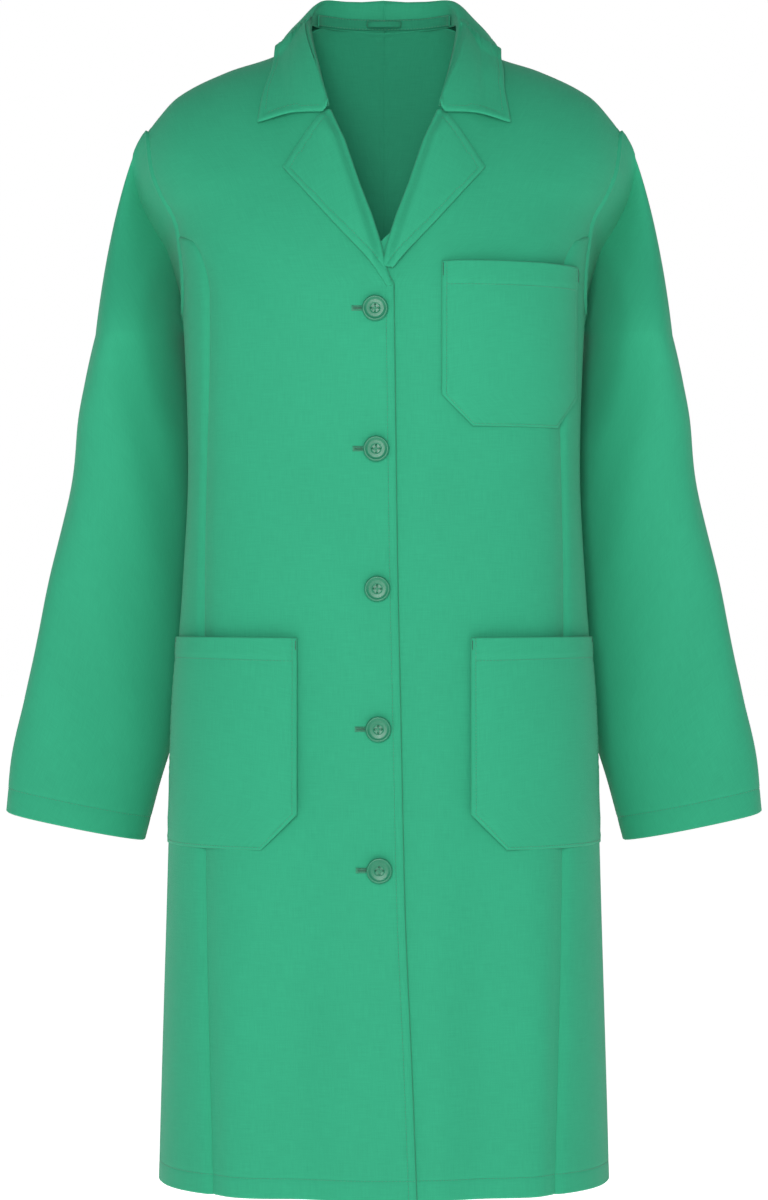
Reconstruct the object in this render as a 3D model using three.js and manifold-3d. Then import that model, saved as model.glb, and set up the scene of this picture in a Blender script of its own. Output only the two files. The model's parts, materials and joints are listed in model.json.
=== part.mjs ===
// A notched-lapel lab coat with princess seams, three patch pockets and five buttons, buttoned up
// and hanging as if worn. Millimetres, +Z up, the coat's front faces -Y, and +X is the wearer's left.
// The coat is drawn with z = 0 at the hem, then moved so that the origin is at the hanger loop.

import * as THREE from 'three';
import { mergeVertices } from 'three/addons/utils/BufferGeometryUtils.js';
import Module from 'manifold-3d';

const wasm = await Module();
wasm.setup();

// ---------------------------------------------------------------- driving dimensions (mm)

// Torso, as heights above the hem, half widths, and depths in front of and behind the side seams.
const CHEST_Z = 760; // where the body begins to close towards the shoulders
const WAIST_Z = 620;
const HIP_Z = 400;
const HEM_HALF_WIDTH = 196;
const HIP_HALF_WIDTH = 184.5;
const WAIST_HALF_WIDTH = 171.4;
const CHEST_HALF_WIDTH = 176.3;
const SHOULDER_HALF_WIDTH = 212.4;
const HEM_DEPTH = 150;
const WAIST_DEPTH = 121;
const CHEST_DEPTH = 126;
const BACK_FLATTER = 4; // how much less deep the back is than the front
const SQUARENESS = 2.5; // 2 would make each level an ellipse
const RIDGE_ROUNDNESS = 1.8; // the same for the closing towards the shoulder seam

// Shoulder seam, as heights above the hem.
const NAPE_RIDGE_Z = 1032;
const NECK_SIDE_HALF_WIDTH = 72;
const NECK_SIDE_Z = 1003;
const SHOULDER_MID_Z = 967;
const SHOULDER_TIP_Z = 915;
const UNDERARM_Z = 752;
const UNDERARM_TURN = 48; // height over which the armhole turns under the arm

// Cloth.
const CLOTH = 1.2; // one layer, with its turned-in seam allowance
const PLY_GAP = 0.4; // between two layers that lie on each other
const SEAM_GAP = 0.4; // between two panels that are sewn edge to edge

// Front closing.
const EDGE_X_TOP = 7.6; // the over front's edge at the first button and at the hem
const EDGE_X_HEM = 26.8;
const OVERLAP = 38;
const FACING_WIDTH = 56;
const BREAK_Z = 768; // where the lapels start to turn back
const SKIRT_SPLIT_Z = 258; // below this the fronts swing free
const SPLIT_GAP = 1;
const SLOPE = 24; // width over which the under front goes below the over front

// Princess seams, as distances from the centre line.
const PRINCESS_X_HEM = 146.6;
const PRINCESS_X_WAIST = 156;
const PRINCESS_X_CHEST = 151.8;

// Buttons and buttonholes.
const BUTTON_COUNT = 5;
const BUTTON_PITCH = 118.5;
const BUTTON_TOP_Z = 749.5;
const BUTTON_X_TOP = -7.6;
const BUTTON_DRIFT = 0.0078; // sideways shift per millimetre down
const BUTTON_R = 11;
const BUTTON_THICKNESS = 3;
const BUTTON_RIM = 2.6;
const BUTTON_HOLE_R = 1;
const BUTTON_HOLE_FROM_CENTRE = 2.9;
const BUTTON_LIFT = 1.6; // from the cloth to the button's back
const THREAD_R = 0.5;
const SHANK_R = 1;
const SLIT_INNER = 18.5; // the buttonhole reaches this far to the coat's right of the button
const SLIT_OUTER = 3.5;
const SLIT_HEIGHT = 3.2;
const STITCH_WIDTH = 1.4;
const STITCH_THICKNESS = 0.3;
const STITCH_LIFT = 0.45; // from the cloth to the middle of the stitching

// Pockets.
const CHEST_POCKET_TOP_Z = 789;
const CHEST_POCKET_BOTTOM_Z = 651;
const CHEST_POCKET_INNER_X = 49;
const CHEST_POCKET_OUTER_X = 165.5;
const CHEST_POCKET_INNER_CORNER = 26; // size of the cut-off lower corners
const CHEST_POCKET_OUTER_CORNER = 18;
const LOWER_POCKET_TOP_Z = 470.5;
const LOWER_POCKET_BOTTOM_Z = 292;
const LOWER_POCKET_INNER_X = 73.5;
const LOWER_POCKET_CORNER = 30;
const CHEST_POCKET_BULGE = 7;
const LOWER_POCKET_BULGE = 8;
const POCKET_LIFT = 1.2; // at a pocket's sewn edges
const POCKET_SIDE_MARGIN = 0.05; // radians kept between a lower pocket and the side seam

// Sleeves.
const CUFF_Z = 303.5;
const SLEEVE_SEGMENTS = 20;
const ARMHOLE_SHARE = 0.9794; // armhole seam, as a share of the half width at its level
const ARMHOLE_CLEARANCE = 1;

// Collar.
const COLLAR_TOP_Z = 1035;
const BACK_NECK_Z = 1009;
const COLLAR_BACK_FALL = 52;
const COLLAR_GAP = 0.9; // between its two layers, where the interfacing lies
const COLLAR_LIFT = 4.6; // mid-height of the collar leaf above the coat's front
const LAPEL_LIFT = 3.2; // lower face of the lapel's lower layer above the coat's front

// Hanger loop.
const LOOP_WIDTH = 30;
const LOOP_BOW = 7.5;
const LOOP_STRIP = 5;

// ---------------------------------------------------------------- curves and the body surface

// A smooth curve through the given [position, value] pairs, without overshoot between them.
function through(points) {
  const last = points.length - 1;
  const slope = (i) => (points[i + 1][1] - points[i][1]) / (points[i + 1][0] - points[i][0]);
  const tangent = (i) => {
    if (i === 0) return slope(0);
    if (i === last) return slope(last - 1);
    const before = slope(i - 1);
    const after = slope(i);
    return before * after <= 0 ? 0 : (2 * before * after) / (before + after);
  };
  return (value) => {
    const x = THREE.MathUtils.clamp(value, points[0][0], points[last][0]);
    let i = 0;
    while (i < last - 1 && x > points[i + 1][0]) i += 1;
    const span = points[i + 1][0] - points[i][0];
    const s = (x - points[i][0]) / span;
    const a = points[i][1] * (2 * s ** 3 - 3 * s ** 2 + 1) + tangent(i) * span * (s ** 3 - 2 * s ** 2 + s);
    const b = points[i + 1][1] * (3 * s ** 2 - 2 * s ** 3) + tangent(i + 1) * span * (s ** 3 - s ** 2);
    return a + b;
  };
}

// Levels above the chest are stretched so that the shoulder seam is one level, RIDGE.
const RIDGE = CHEST_Z + 200;
const level = (share) => CHEST_Z + share * (RIDGE - CHEST_Z);

const halfWidth = through([
  [0, HEM_HALF_WIDTH],
  [HIP_Z * 0.5, (HEM_HALF_WIDTH + HIP_HALF_WIDTH) / 2],
  [HIP_Z, HIP_HALF_WIDTH],
  [(HIP_Z + WAIST_Z) / 2, (HIP_HALF_WIDTH + WAIST_HALF_WIDTH) / 2 - 1.5],
  [WAIST_Z, WAIST_HALF_WIDTH],
  [CHEST_Z, CHEST_HALF_WIDTH],
  [level(0.33), CHEST_HALF_WIDTH + 6.7],
  [level(0.4), CHEST_HALF_WIDTH + 9.9],
  [level(0.54), (CHEST_HALF_WIDTH + SHOULDER_HALF_WIDTH) / 2 + 3],
  [level(0.74), SHOULDER_HALF_WIDTH - 5.1],
  [RIDGE, SHOULDER_HALF_WIDTH],
]);

const frontDepth = through([
  [0, HEM_DEPTH],
  [HIP_Z * 0.6, HEM_DEPTH - 10],
  [(HIP_Z + WAIST_Z) / 2, (HEM_DEPTH + WAIST_DEPTH) / 2 - 11.5],
  [WAIST_Z, WAIST_DEPTH],
  [CHEST_Z, CHEST_DEPTH],
  [RIDGE, CHEST_DEPTH - 6],
]);

const shoulderZ = through([
  [0, NAPE_RIDGE_Z],
  [NECK_SIDE_HALF_WIDTH - 32, NAPE_RIDGE_Z - 4],
  [NECK_SIDE_HALF_WIDTH, NECK_SIDE_Z],
  [NECK_SIDE_HALF_WIDTH + 18, NECK_SIDE_Z - 19],
  [SHOULDER_HALF_WIDTH * 0.65, SHOULDER_MID_Z],
  [SHOULDER_HALF_WIDTH * 0.85, (SHOULDER_MID_Z + SHOULDER_TIP_Z) / 2 + 4.6],
  [SHOULDER_HALF_WIDTH * ARMHOLE_SHARE, SHOULDER_TIP_Z],
  [SHOULDER_HALF_WIDTH + 4, SHOULDER_TIP_Z - 10],
]);

// A place on the body is [turn, level]: turn is 0 at the centre front, PI / 2 at the wearer's left
// side seam and PI at the centre back; level is the height, stretched above the chest.
function bodyPoint(turn, lvl) {
  const sine = Math.sin(turn);
  const x = halfWidth(lvl) * sine;
  const share = Math.max(0, (lvl - CHEST_Z) / (RIDGE - CHEST_Z));
  const z = share > 0 ? CHEST_Z + share * (shoulderZ(Math.abs(x)) - CHEST_Z) : lvl;
  const closing = Math.max(0, 1 - Math.min(1, share) ** RIDGE_ROUNDNESS) ** (1 / RIDGE_ROUNDNESS);
  const across = Math.max(0, 1 - Math.min(1, Math.abs(sine)) ** SQUARENESS) ** (1 / SQUARENESS);
  const isFront = Math.cos(turn) >= 0;
  const depth = isFront ? frontDepth(lvl) : frontDepth(lvl) - BACK_FLATTER;
  const y = SEAM_GAP / 2 + depth * across * closing;
  return new THREE.Vector3(x, isFront ? -y : y, z);
}

// The outward direction. It is sideways at the side seams and upward at the shoulder seams, where
// the front and the back meet.
function bodyNormal(turn, lvl) {
  const step = 0.01;
  const side = Math.sign(turn) * Math.PI / 2;
  const fromSide = Math.abs(turn - side);
  const beyond = turn > side ? 1 : -1;
  const t = fromSide < 2 * step ? side + beyond * 2 * step : turn;
  const l = Math.min(lvl, RIDGE - 1.5);
  const along = bodyPoint(t + step / 2, l).sub(bodyPoint(t - step / 2, l));
  const up = bodyPoint(t, l + 0.5).sub(bodyPoint(t, l - 0.5));
  const normal = along.cross(up).normalize();
  const sideways = Math.max(0, 1 - fromSide / (2 * step));
  normal.lerp(new THREE.Vector3(Math.sign(turn), 0, 0), sideways).normalize();
  const upward = Math.max(0, 1 - (RIDGE - lvl) / 6);
  return normal.lerp(new THREE.Vector3(0, 0, 1), upward).normalize();
}

const levelOf = (x, z) => {
  if (z <= CHEST_Z) return z;
  return CHEST_Z + ((RIDGE - CHEST_Z) * (z - CHEST_Z)) / (shoulderZ(Math.abs(x)) - CHEST_Z);
};
const turnAt = (x, lvl) => Math.asin(THREE.MathUtils.clamp(x / halfWidth(lvl), -1, 1));
const frontPlace = (x, z) => [turnAt(x, levelOf(x, z)), levelOf(x, z)];

// ---------------------------------------------------------------- solids from sheets

const coat = new THREE.Group();
const CLOTH_COLOR = 0x3eae86;
const INSIDE_COLOR = 0x328262;
const BUTTON_COLOR = 0x2c9a6f;
const THREAD_COLOR = 0x2f8c66;

function addPiece(name, geometry, color = CLOTH_COLOR, roughness = 0.85) {
  const material = new THREE.MeshStandardMaterial({ color, roughness, metalness: 0 });
  const mesh = new THREE.Mesh(geometry, material);
  mesh.name = name;
  coat.add(mesh);
  return mesh;
}

// A closed solid whose outer face is the grid of points moved along its normals by lift, and whose
// inner face lies one thickness below it. rows x columns of { point, normal }; a ring closes around.
function sheetSolid(grid, lift, thickness = CLOTH, ring = false) {
  const rows = grid.length;
  const columns = grid[0].length;
  const position = [];
  const index = [];
  for (const below of [0, thickness]) {
    grid.forEach((row, j) => row.forEach(({ point, normal }, i) => {
      const moved = point.clone().addScaledVector(normal, lift(i / (columns - 1), j / (rows - 1)) - below);
      position.push(moved.x, moved.y, moved.z);
    }));
  }
  const inner = rows * columns;
  const at = (j, i) => j * columns + (i % columns);
  const quad = (a, b, c, d) => index.push(a, b, c, a, c, d);
  const cells = ring ? columns : columns - 1;
  for (let j = 0; j < rows - 1; j += 1) {
    for (let i = 0; i < cells; i += 1) {
      quad(at(j, i), at(j, i + 1), at(j + 1, i + 1), at(j + 1, i));
      quad(inner + at(j, i), inner + at(j + 1, i), inner + at(j + 1, i + 1), inner + at(j, i + 1));
    }
    if (!ring) {
      quad(at(j + 1, 0), inner + at(j + 1, 0), inner + at(j, 0), at(j, 0));
      const end = columns - 1;
      quad(at(j, end), inner + at(j, end), inner + at(j + 1, end), at(j + 1, end));
    }
  }
  for (let i = 0; i < cells; i += 1) {
    const top = rows - 1;
    quad(at(0, i), inner + at(0, i), inner + at(0, i + 1), at(0, i + 1));
    quad(at(top, i + 1), inner + at(top, i + 1), inner + at(top, i), at(top, i));
  }
  const geometry = new THREE.BufferGeometry();
  geometry.setAttribute('position', new THREE.Float32BufferAttribute(position, 3));
  geometry.setIndex(index);
  return geometry;
}

// A sheet on the body between two edges, each a function from 0 (bottom) to 1 (top) giving a place.
// The first edge is the one with the smaller turn.
function bodyGrid(firstEdge, secondEdge, rows, columns) {
  const grid = [];
  for (let j = 0; j <= rows; j += 1) {
    const [turnA, levelA] = firstEdge(j / rows);
    const [turnB, levelB] = secondEdge(j / rows);
    const row = [];
    for (let i = 0; i <= columns; i += 1) {
      const turn = THREE.MathUtils.lerp(turnA, turnB, i / columns);
      const lvl = THREE.MathUtils.lerp(levelA, levelB, i / columns);
      row.push({ point: bodyPoint(turn, lvl), normal: bodyNormal(turn, lvl) });
    }
    grid.push(row);
  }
  return grid;
}

// The mirror image across the coat's centre plane, with its faces turned the right way again.
function mirrored(geometry) {
  const copy = geometry.clone();
  const position = copy.getAttribute('position');
  for (let i = 0; i < position.count; i += 1) position.setX(i, -position.getX(i));
  const index = copy.getIndex();
  for (let i = 0; i < index.count; i += 3) {
    const first = index.getX(i);
    index.setX(i, index.getX(i + 1));
    index.setX(i + 1, first);
  }
  return copy;
}

// Boolean work.
function toSolid(geometry) {
  const bare = geometry.clone();
  bare.deleteAttribute('normal');
  bare.deleteAttribute('uv');
  const merged = mergeVertices(bare, 1e-4);
  const mesh = new wasm.Mesh({
    numProp: 3,
    vertProperties: new Float32Array(merged.getAttribute('position').array),
    triVerts: new Uint32Array(merged.getIndex().array),
  });
  return new wasm.Manifold(mesh);
}

function toGeometry(solid) {
  const mesh = solid.getMesh();
  const geometry = new THREE.BufferGeometry();
  geometry.setAttribute('position', new THREE.Float32BufferAttribute(mesh.vertProperties, 3));
  geometry.setIndex(Array.from(mesh.triVerts));
  return geometry;
}

const cutAll = (geometry, tools) => toGeometry(
  tools.reduce((solid, tool) => solid.subtract(toSolid(tool)), toSolid(geometry)),
);
const joinAll = (geometries) => toGeometry(
  geometries.slice(1).reduce((solid, next) => solid.add(toSolid(next)), toSolid(geometries[0])),
);

// ---------------------------------------------------------------- seams and edges

// Half a seam gap as a turn, at the given level.
const seamTurn = (lvl) => SEAM_GAP / 2 / halfWidth(lvl);

const PRINCESS_TOP_LEVEL = level(0.31);
const princessX = through([
  [0, PRINCESS_X_HEM],
  [HIP_Z * 0.6, PRINCESS_X_HEM + 6.8],
  [WAIST_Z - 100, PRINCESS_X_WAIST + 0.6],
  [WAIST_Z, PRINCESS_X_WAIST - 1],
  [(WAIST_Z + CHEST_Z) / 2 + 20, PRINCESS_X_CHEST + 0.4],
  [CHEST_Z + 6, PRINCESS_X_CHEST],
  [CHEST_Z + 33, PRINCESS_X_CHEST + 4.5],
  [CHEST_Z + 53, PRINCESS_X_CHEST + 13],
  [PRINCESS_TOP_LEVEL, CHEST_HALF_WIDTH + 0.8],
]);

// The armhole's turn from the centre front; the back one is its mirror across the side seam.
function armholeTurn(lvl) {
  const full = Math.asin(ARMHOLE_SHARE);
  const turnUnder = Math.min(1, (lvl - UNDERARM_Z) / UNDERARM_TURN);
  const turned = Math.sqrt(Math.max(0, 1 - (1 - turnUnder) ** 2));
  return Math.PI / 2 - Math.max(1e-5, (Math.PI / 2 - full) * turned);
}

const edgeX = through([
  [0, EDGE_X_HEM],
  [110, EDGE_X_HEM - 4.2],
  [245, EDGE_X_TOP + 9.2],
  [HIP_Z, EDGE_X_TOP + 5.9],
  [WAIST_Z - 80, EDGE_X_TOP + 3],
  [BREAK_Z, EDGE_X_TOP],
]);
const underEdgeX = (lvl) => edgeX(lvl) - OVERLAP;

// Roll line: from the break point up to where the lapel meets the collar, then up to the neck.
const ROLL = [
  [6, BREAK_Z],
  [-4.2, 803],
  [-22.9, 857],
  [-36, 896],
  [-57, 931],
  [-73, 968],
  [-NECK_SIDE_HALF_WIDTH - 8, 1000],
].map(([x, z]) => frontPlace(x, Math.min(z, shoulderZ(Math.abs(x)) - 1)));
ROLL[ROLL.length - 1][1] = RIDGE;
const rollTurn = through(ROLL.map(([turn, lvl]) => [lvl, turn]));

// ---------------------------------------------------------------- front panels

const SKIRT_ROWS = 5;
const FRONT_ROWS_BELOW = 12;
const FRONT_ROWS_ABOVE = 9;

// Levels from the skirt split up to the ridge, with rows on the break point and the princess top.
function frontLevel(v) {
  const rows = FRONT_ROWS_BELOW + FRONT_ROWS_ABOVE;
  const row = v * rows;
  if (row <= FRONT_ROWS_BELOW) {
    return THREE.MathUtils.lerp(SKIRT_SPLIT_Z + SPLIT_GAP, BREAK_Z, row / FRONT_ROWS_BELOW);
  }
  const s = (row - FRONT_ROWS_BELOW) / FRONT_ROWS_ABOVE;
  return THREE.MathUtils.lerp(BREAK_Z, RIDGE, 1 - (1 - s) ** 1.4);
}

// The side edge of a front panel: the princess seam, then the armhole. As a positive turn.
function frontSideTurn(lvl) {
  if (lvl <= PRINCESS_TOP_LEVEL) return turnAt(princessX(lvl), lvl) - seamTurn(lvl);
  return armholeTurn(lvl);
}

// How far the under front has gone below the over front: 0 outside the closing, 1 inside it.
const UNDER_LIFT = -2 * (CLOTH + PLY_GAP);
function sunk(x, lvl) {
  const start = edgeX(Math.min(lvl, BREAK_Z)) + 3;
  const t = THREE.MathUtils.clamp((start + SLOPE - x) / SLOPE, 0, 1);
  const fade = THREE.MathUtils.clamp((BREAK_Z + 75 - lvl) / 60, 0, 1);
  return t * t * (3 - 2 * t) * fade;
}

// Distances of the columns from a front's edge, as far as its facing reaches: the under front has
// columns where its slope starts and ends.
const OVER_COLUMNS = [0, FACING_WIDTH / 2, FACING_WIDTH];
const SLOPE_START = OVERLAP + 3;
const UNDER_COLUMNS = [0, OVERLAP / 2, ...[0, 1 / 3, 2 / 3, 1].map((share) => SLOPE_START + SLOPE * share)];

// Turns across a front panel at one level, from its edge towards its side.
function frontTurns(lvl, edgeTurn, sideTurn, near, farCount) {
  const edge = halfWidth(lvl) * Math.sin(edgeTurn);
  const room = halfWidth(lvl) * (Math.sin(sideTurn) - Math.sin(edgeTurn)) * 0.8;
  const squeeze = Math.min(1, room / near[near.length - 1]);
  const turns = near.map((distance) => turnAt(edge + distance * squeeze, lvl));
  const start = turns[turns.length - 1];
  for (let i = 1; i <= farCount; i += 1) turns.push(THREE.MathUtils.lerp(start, sideTurn, i / farCount));
  return turns;
}

// The wearer's right side is the left side's mirror image, with turns negative.
function frontGrid(sign, levels, edgeOf, near, farCount) {
  return levels.map((lvl) => {
    const turns = frontTurns(lvl, sign * edgeOf(lvl), frontSideTurn(lvl), near, farCount);
    const ordered = sign < 0 ? turns.map((turn) => -turn).reverse() : turns;
    return ordered.map((turn) => ({ point: bodyPoint(turn, lvl), normal: bodyNormal(turn, lvl), lvl }));
  });
}

const overEdgeTurn = (lvl) => (lvl <= BREAK_Z ? turnAt(edgeX(lvl), lvl) : rollTurn(lvl));
const underEdgeTurn = (lvl) => {
  if (lvl <= BREAK_Z) return turnAt(underEdgeX(lvl), lvl);
  const blend = THREE.MathUtils.clamp((lvl - BREAK_Z) / 34, 0, 1);
  return THREE.MathUtils.lerp(turnAt(underEdgeX(BREAK_Z), lvl), -rollTurn(lvl), blend);
};

function underLift(grid, base) {
  const rows = grid.length - 1;
  const columns = grid[0].length - 1;
  return (u, v) => {
    const { point, lvl } = grid[Math.round(v * rows)][Math.round(u * columns)];
    return base + UNDER_LIFT * sunk(point.x, lvl);
  };
}

const rowsOf = (count, levelAt) => Array.from({ length: count + 1 }, (_, j) => levelAt(j / count));
const FRONT_LEVELS = rowsOf(FRONT_ROWS_BELOW + FRONT_ROWS_ABOVE, frontLevel);
const SKIRT_LEVELS = rowsOf(SKIRT_ROWS, (v) => SKIRT_SPLIT_Z * v);

// The front is straight between two rows of its grid, so a button's place is read between them.
const buttonAt = (n) => {
  const z = BUTTON_TOP_Z - n * BUTTON_PITCH;
  const x = BUTTON_X_TOP + n * BUTTON_PITCH * BUTTON_DRIFT;
  const rows = z < SKIRT_SPLIT_Z ? SKIRT_LEVELS : FRONT_LEVELS;
  const above = rows.findIndex((lvl) => lvl > z);
  const [low, high] = [rows[above - 1], rows[above]];
  const [lowY, highY] = [low, high].map((lvl) => bodyPoint(turnAt(x, lvl), lvl).y);
  return { x, z, y: THREE.MathUtils.lerp(lowY, highY, (z - low) / (high - low)) };
};
const buttonNumbers = Array.from({ length: BUTTON_COUNT }, (_, n) => n);

// A slit with round ends, extruded from front to back.
function slot(width, height, depth, centre) {
  const r = height / 2;
  const shape = new THREE.Shape();
  shape.absarc(width / 2 - r, 0, r, -Math.PI / 2, Math.PI / 2, false);
  shape.absarc(-width / 2 + r, 0, r, Math.PI / 2, (3 * Math.PI) / 2, false);
  const geometry = new THREE.ExtrudeGeometry(shape, { depth, bevelEnabled: false, curveSegments: 3 });
  geometry.translate(0, 0, -depth / 2);
  geometry.rotateX(Math.PI / 2);
  geometry.translate(centre.x, centre.y, centre.z);
  return geometry;
}
const slitCentre = ({ x, y, z }) => new THREE.Vector3(x + (SLIT_OUTER - SLIT_INNER) / 2, y, z);
const SLIT_WIDTH = SLIT_INNER + SLIT_OUTER;
const SLIT_CUT_DEPTH = 8; // through both layers of the over front
const slitAt = (n) => slot(SLIT_WIDTH, SLIT_HEIGHT, SLIT_CUT_DEPTH, slitCentre(buttonAt(n)));
const slits = buttonNumbers.map(slitAt);

const FAR_COLUMNS = 4;

const rightFront = frontGrid(-1, FRONT_LEVELS, overEdgeTurn, OVER_COLUMNS, FAR_COLUMNS);
addPiece('right_front', cutAll(sheetSolid(rightFront, () => 0), slits));
const leftFront = frontGrid(1, FRONT_LEVELS, underEdgeTurn, UNDER_COLUMNS, FAR_COLUMNS - 1);
addPiece('left_front', sheetSolid(leftFront, underLift(leftFront, 0)));

const rightSkirt = frontGrid(-1, SKIRT_LEVELS, overEdgeTurn, OVER_COLUMNS, FAR_COLUMNS);
addPiece('right_front_skirt', sheetSolid(rightSkirt, () => 0));
const leftSkirt = frontGrid(1, SKIRT_LEVELS, underEdgeTurn, UNDER_COLUMNS, FAR_COLUMNS - 1);
addPiece('left_front_skirt', sheetSolid(leftSkirt, underLift(leftSkirt, 0)));

// Facings: the second layer inside each front edge, on the same columns as the front that it lines,
// and one millimetre short of its edge and hem.
const FACING_LIFT = -(CLOTH + PLY_GAP);
const FACING_SHORT = 1;
const facingColumns = (columns) => [FACING_SHORT, ...columns.slice(1)];
const overFacing = facingColumns(OVER_COLUMNS);
const underFacing = facingColumns(UNDER_COLUMNS.slice(0, 5));
const upperLevels = FRONT_LEVELS.slice(0, FRONT_ROWS_BELOW + 1);
const lowerLevels = [2 * FACING_SHORT, ...SKIRT_LEVELS.slice(1)];
const rightFacing = frontGrid(-1, upperLevels, overEdgeTurn, overFacing, 0);
const rightSkirtFacing = frontGrid(-1, lowerLevels, overEdgeTurn, overFacing, 0);
const leftFacing = frontGrid(1, upperLevels, underEdgeTurn, underFacing, 0);
const leftSkirtFacing = frontGrid(1, lowerLevels, underEdgeTurn, underFacing, 0);
addPiece('right_front_facing', cutAll(sheetSolid(rightFacing, () => FACING_LIFT), slits), INSIDE_COLOR);
addPiece('right_skirt_facing', sheetSolid(rightSkirtFacing, () => FACING_LIFT), INSIDE_COLOR);
addPiece('left_front_facing', sheetSolid(leftFacing, underLift(leftFacing, FACING_LIFT)), INSIDE_COLOR);
const leftSkirtLift = underLift(leftSkirtFacing, FACING_LIFT);
addPiece('left_skirt_facing', sheetSolid(leftSkirtFacing, leftSkirtLift), INSIDE_COLOR);

// ---------------------------------------------------------------- side fronts and backs

// The rows of the front panels, from the hem to the top of the princess seam, so that the panels
// meet along the same corners.
const upperSideLevels = FRONT_LEVELS.filter((lvl) => lvl < PRINCESS_TOP_LEVEL - 2);
const sideLevels = [...SKIRT_LEVELS.slice(0, -1), ...upperSideLevels];
function sideFront() {
  const rows = sideLevels.length - 1;
  const lvlAt = (v) => sideLevels[Math.round(v * rows)];
  const inner = (v) => [turnAt(princessX(lvlAt(v)), lvlAt(v)) + seamTurn(lvlAt(v)), lvlAt(v)];
  const outer = (v) => [Math.max(armholeTurn(lvlAt(v)), inner(v)[0] + 0.008), lvlAt(v)];
  return sheetSolid(bodyGrid(inner, outer, rows, 3), () => 0);
}
addPiece('left_side_front', sideFront());
addPiece('right_side_front', mirrored(sideFront()));

// The back's top edge dips at the neck, from the shoulder seam to the centre back.
const NAPE_LEVEL = levelOf(0, BACK_NECK_Z);
function backPanel() {
  const rows = 19;
  const columns = 8;
  const grid = [];
  for (let j = 0; j <= rows; j += 1) {
    const straight = RIDGE * (1 - (1 - j / rows) ** 1.15);
    const sideTurn = Math.PI - armholeTurn(straight);
    const row = [];
    for (let i = 0; i <= columns; i += 1) {
      const start = seamTurn(straight);
      const turn = THREE.MathUtils.lerp(sideTurn, Math.PI - start, i / columns);
      const x = halfWidth(straight) * Math.sin(turn);
      const neck = Math.max(0, 1 - (x / NECK_SIDE_HALF_WIDTH) ** 2);
      const nearTop = THREE.MathUtils.smoothstep(straight, RIDGE - 110, RIDGE);
      const lvl = straight - (RIDGE - NAPE_LEVEL) * neck * nearTop;
      row.push({ point: bodyPoint(turn, lvl), normal: bodyNormal(turn, lvl) });
    }
    grid.push(row);
  }
  return sheetSolid(grid, () => 0);
}
addPiece('left_back', backPanel());
addPiece('right_back', mirrored(backPanel()));

// ---------------------------------------------------------------- lapels

// Lapel outline on the wearer's right, from the bottom up, as [x, z].
const lapelRoll = [[-2, 786], [-4.2, 803], [-12.7, 829.6], [-22.9, 857.4], [-35.8, 896.3], [-47.5, 922]];
const lapelEdge = [[-7, 785], [-16.1, 794.9], [-44, 824.6], [-84.9, 870.8], [-64.5, 902.5], [-49.5, 922]];
function polyline(points) {
  const spots = points.map(([x, z]) => new THREE.Vector2(x, z));
  const share = spots.map((_, i) => i / (spots.length - 1));
  return (v) => {
    let i = 0;
    while (i < share.length - 2 && v > share[i + 1] + 1e-9) i += 1;
    const p = spots[i].clone().lerp(spots[i + 1], (v - share[i]) / (share[i + 1] - share[i]));
    return frontPlace(p.x, p.y);
  };
}
const LAPEL_ROWS = 10;
const lapelGrid = bodyGrid(polyline(lapelEdge), polyline(lapelRoll), LAPEL_ROWS, 3);
const lapelUnder = sheetSolid(lapelGrid, () => LAPEL_LIFT + CLOTH);
const lapelFacing = sheetSolid(lapelGrid, () => LAPEL_LIFT + 2 * CLOTH + PLY_GAP);
addPiece('right_lapel_under', lapelUnder);
addPiece('right_lapel', lapelFacing);
addPiece('left_lapel_under', mirrored(lapelUnder));
addPiece('left_lapel', mirrored(lapelFacing));

// ---------------------------------------------------------------- collar

// Three lines run round the neck: the neck seam, the roll where the collar turns over, and the
// leaf's outer edge. Each is given for the wearer's right, from the centre back to the front end.
const vectors = (points) => points.map(([x, y, z]) => new THREE.Vector3(x, y, z));
const onFront = (x, z, lift) => {
  const [turn, lvl] = frontPlace(x, z);
  return bodyPoint(turn, lvl).addScaledVector(bodyNormal(turn, lvl), lift).toArray();
};
const NAPE_Y = bodyPoint(Math.PI, NAPE_LEVEL).y;
const neckSeam = vectors([
  [0, NAPE_Y + 1.5, BACK_NECK_Z + 4.5],
  [-34, NAPE_Y - 5, BACK_NECK_Z + 4.5],
  [-58, NAPE_Y - 21, BACK_NECK_Z + 3.5],
  [-64, -4, NECK_SIDE_Z + 4],
  [-59, -36, 974],
  [-49.5, -82, 934],
]);
const rollLine = vectors([
  [0, NAPE_Y + 4, COLLAR_TOP_Z],
  [-34, NAPE_Y - 1, COLLAR_TOP_Z],
  [-57, NAPE_Y - 21, COLLAR_TOP_Z - 3],
  [-66, -6, COLLAR_TOP_Z - 22],
  [-62, -42, 981],
  [-50.5, -91, 938],
]);
const leafEdge = vectors([
  [0, NAPE_Y + 24, COLLAR_TOP_Z - COLLAR_BACK_FALL],
  [-46, NAPE_Y + 18, COLLAR_TOP_Z - COLLAR_BACK_FALL],
  [-85, 27, COLLAR_TOP_Z - COLLAR_BACK_FALL + 1],
  [-94.5, -7, 990.5],
  onFront(-100, 953, COLLAR_LIFT),
  onFront(-107, 911.5, COLLAR_LIFT),
]);
const COLLAR_STATIONS = 10;
const COLLAR_STOPS = [0, 0.2, 0.32, 0.4, 0.48, 0.56, 0.66, 0.8, 0.9, 1]; // closer round the fold
const COLLAR_ACROSS = COLLAR_STOPS.length - 1;
const FOLD_STOP = 3;
const NOTCH_DROP = 7; // how far the leaf's end runs below the straight line from roll to corner
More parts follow.
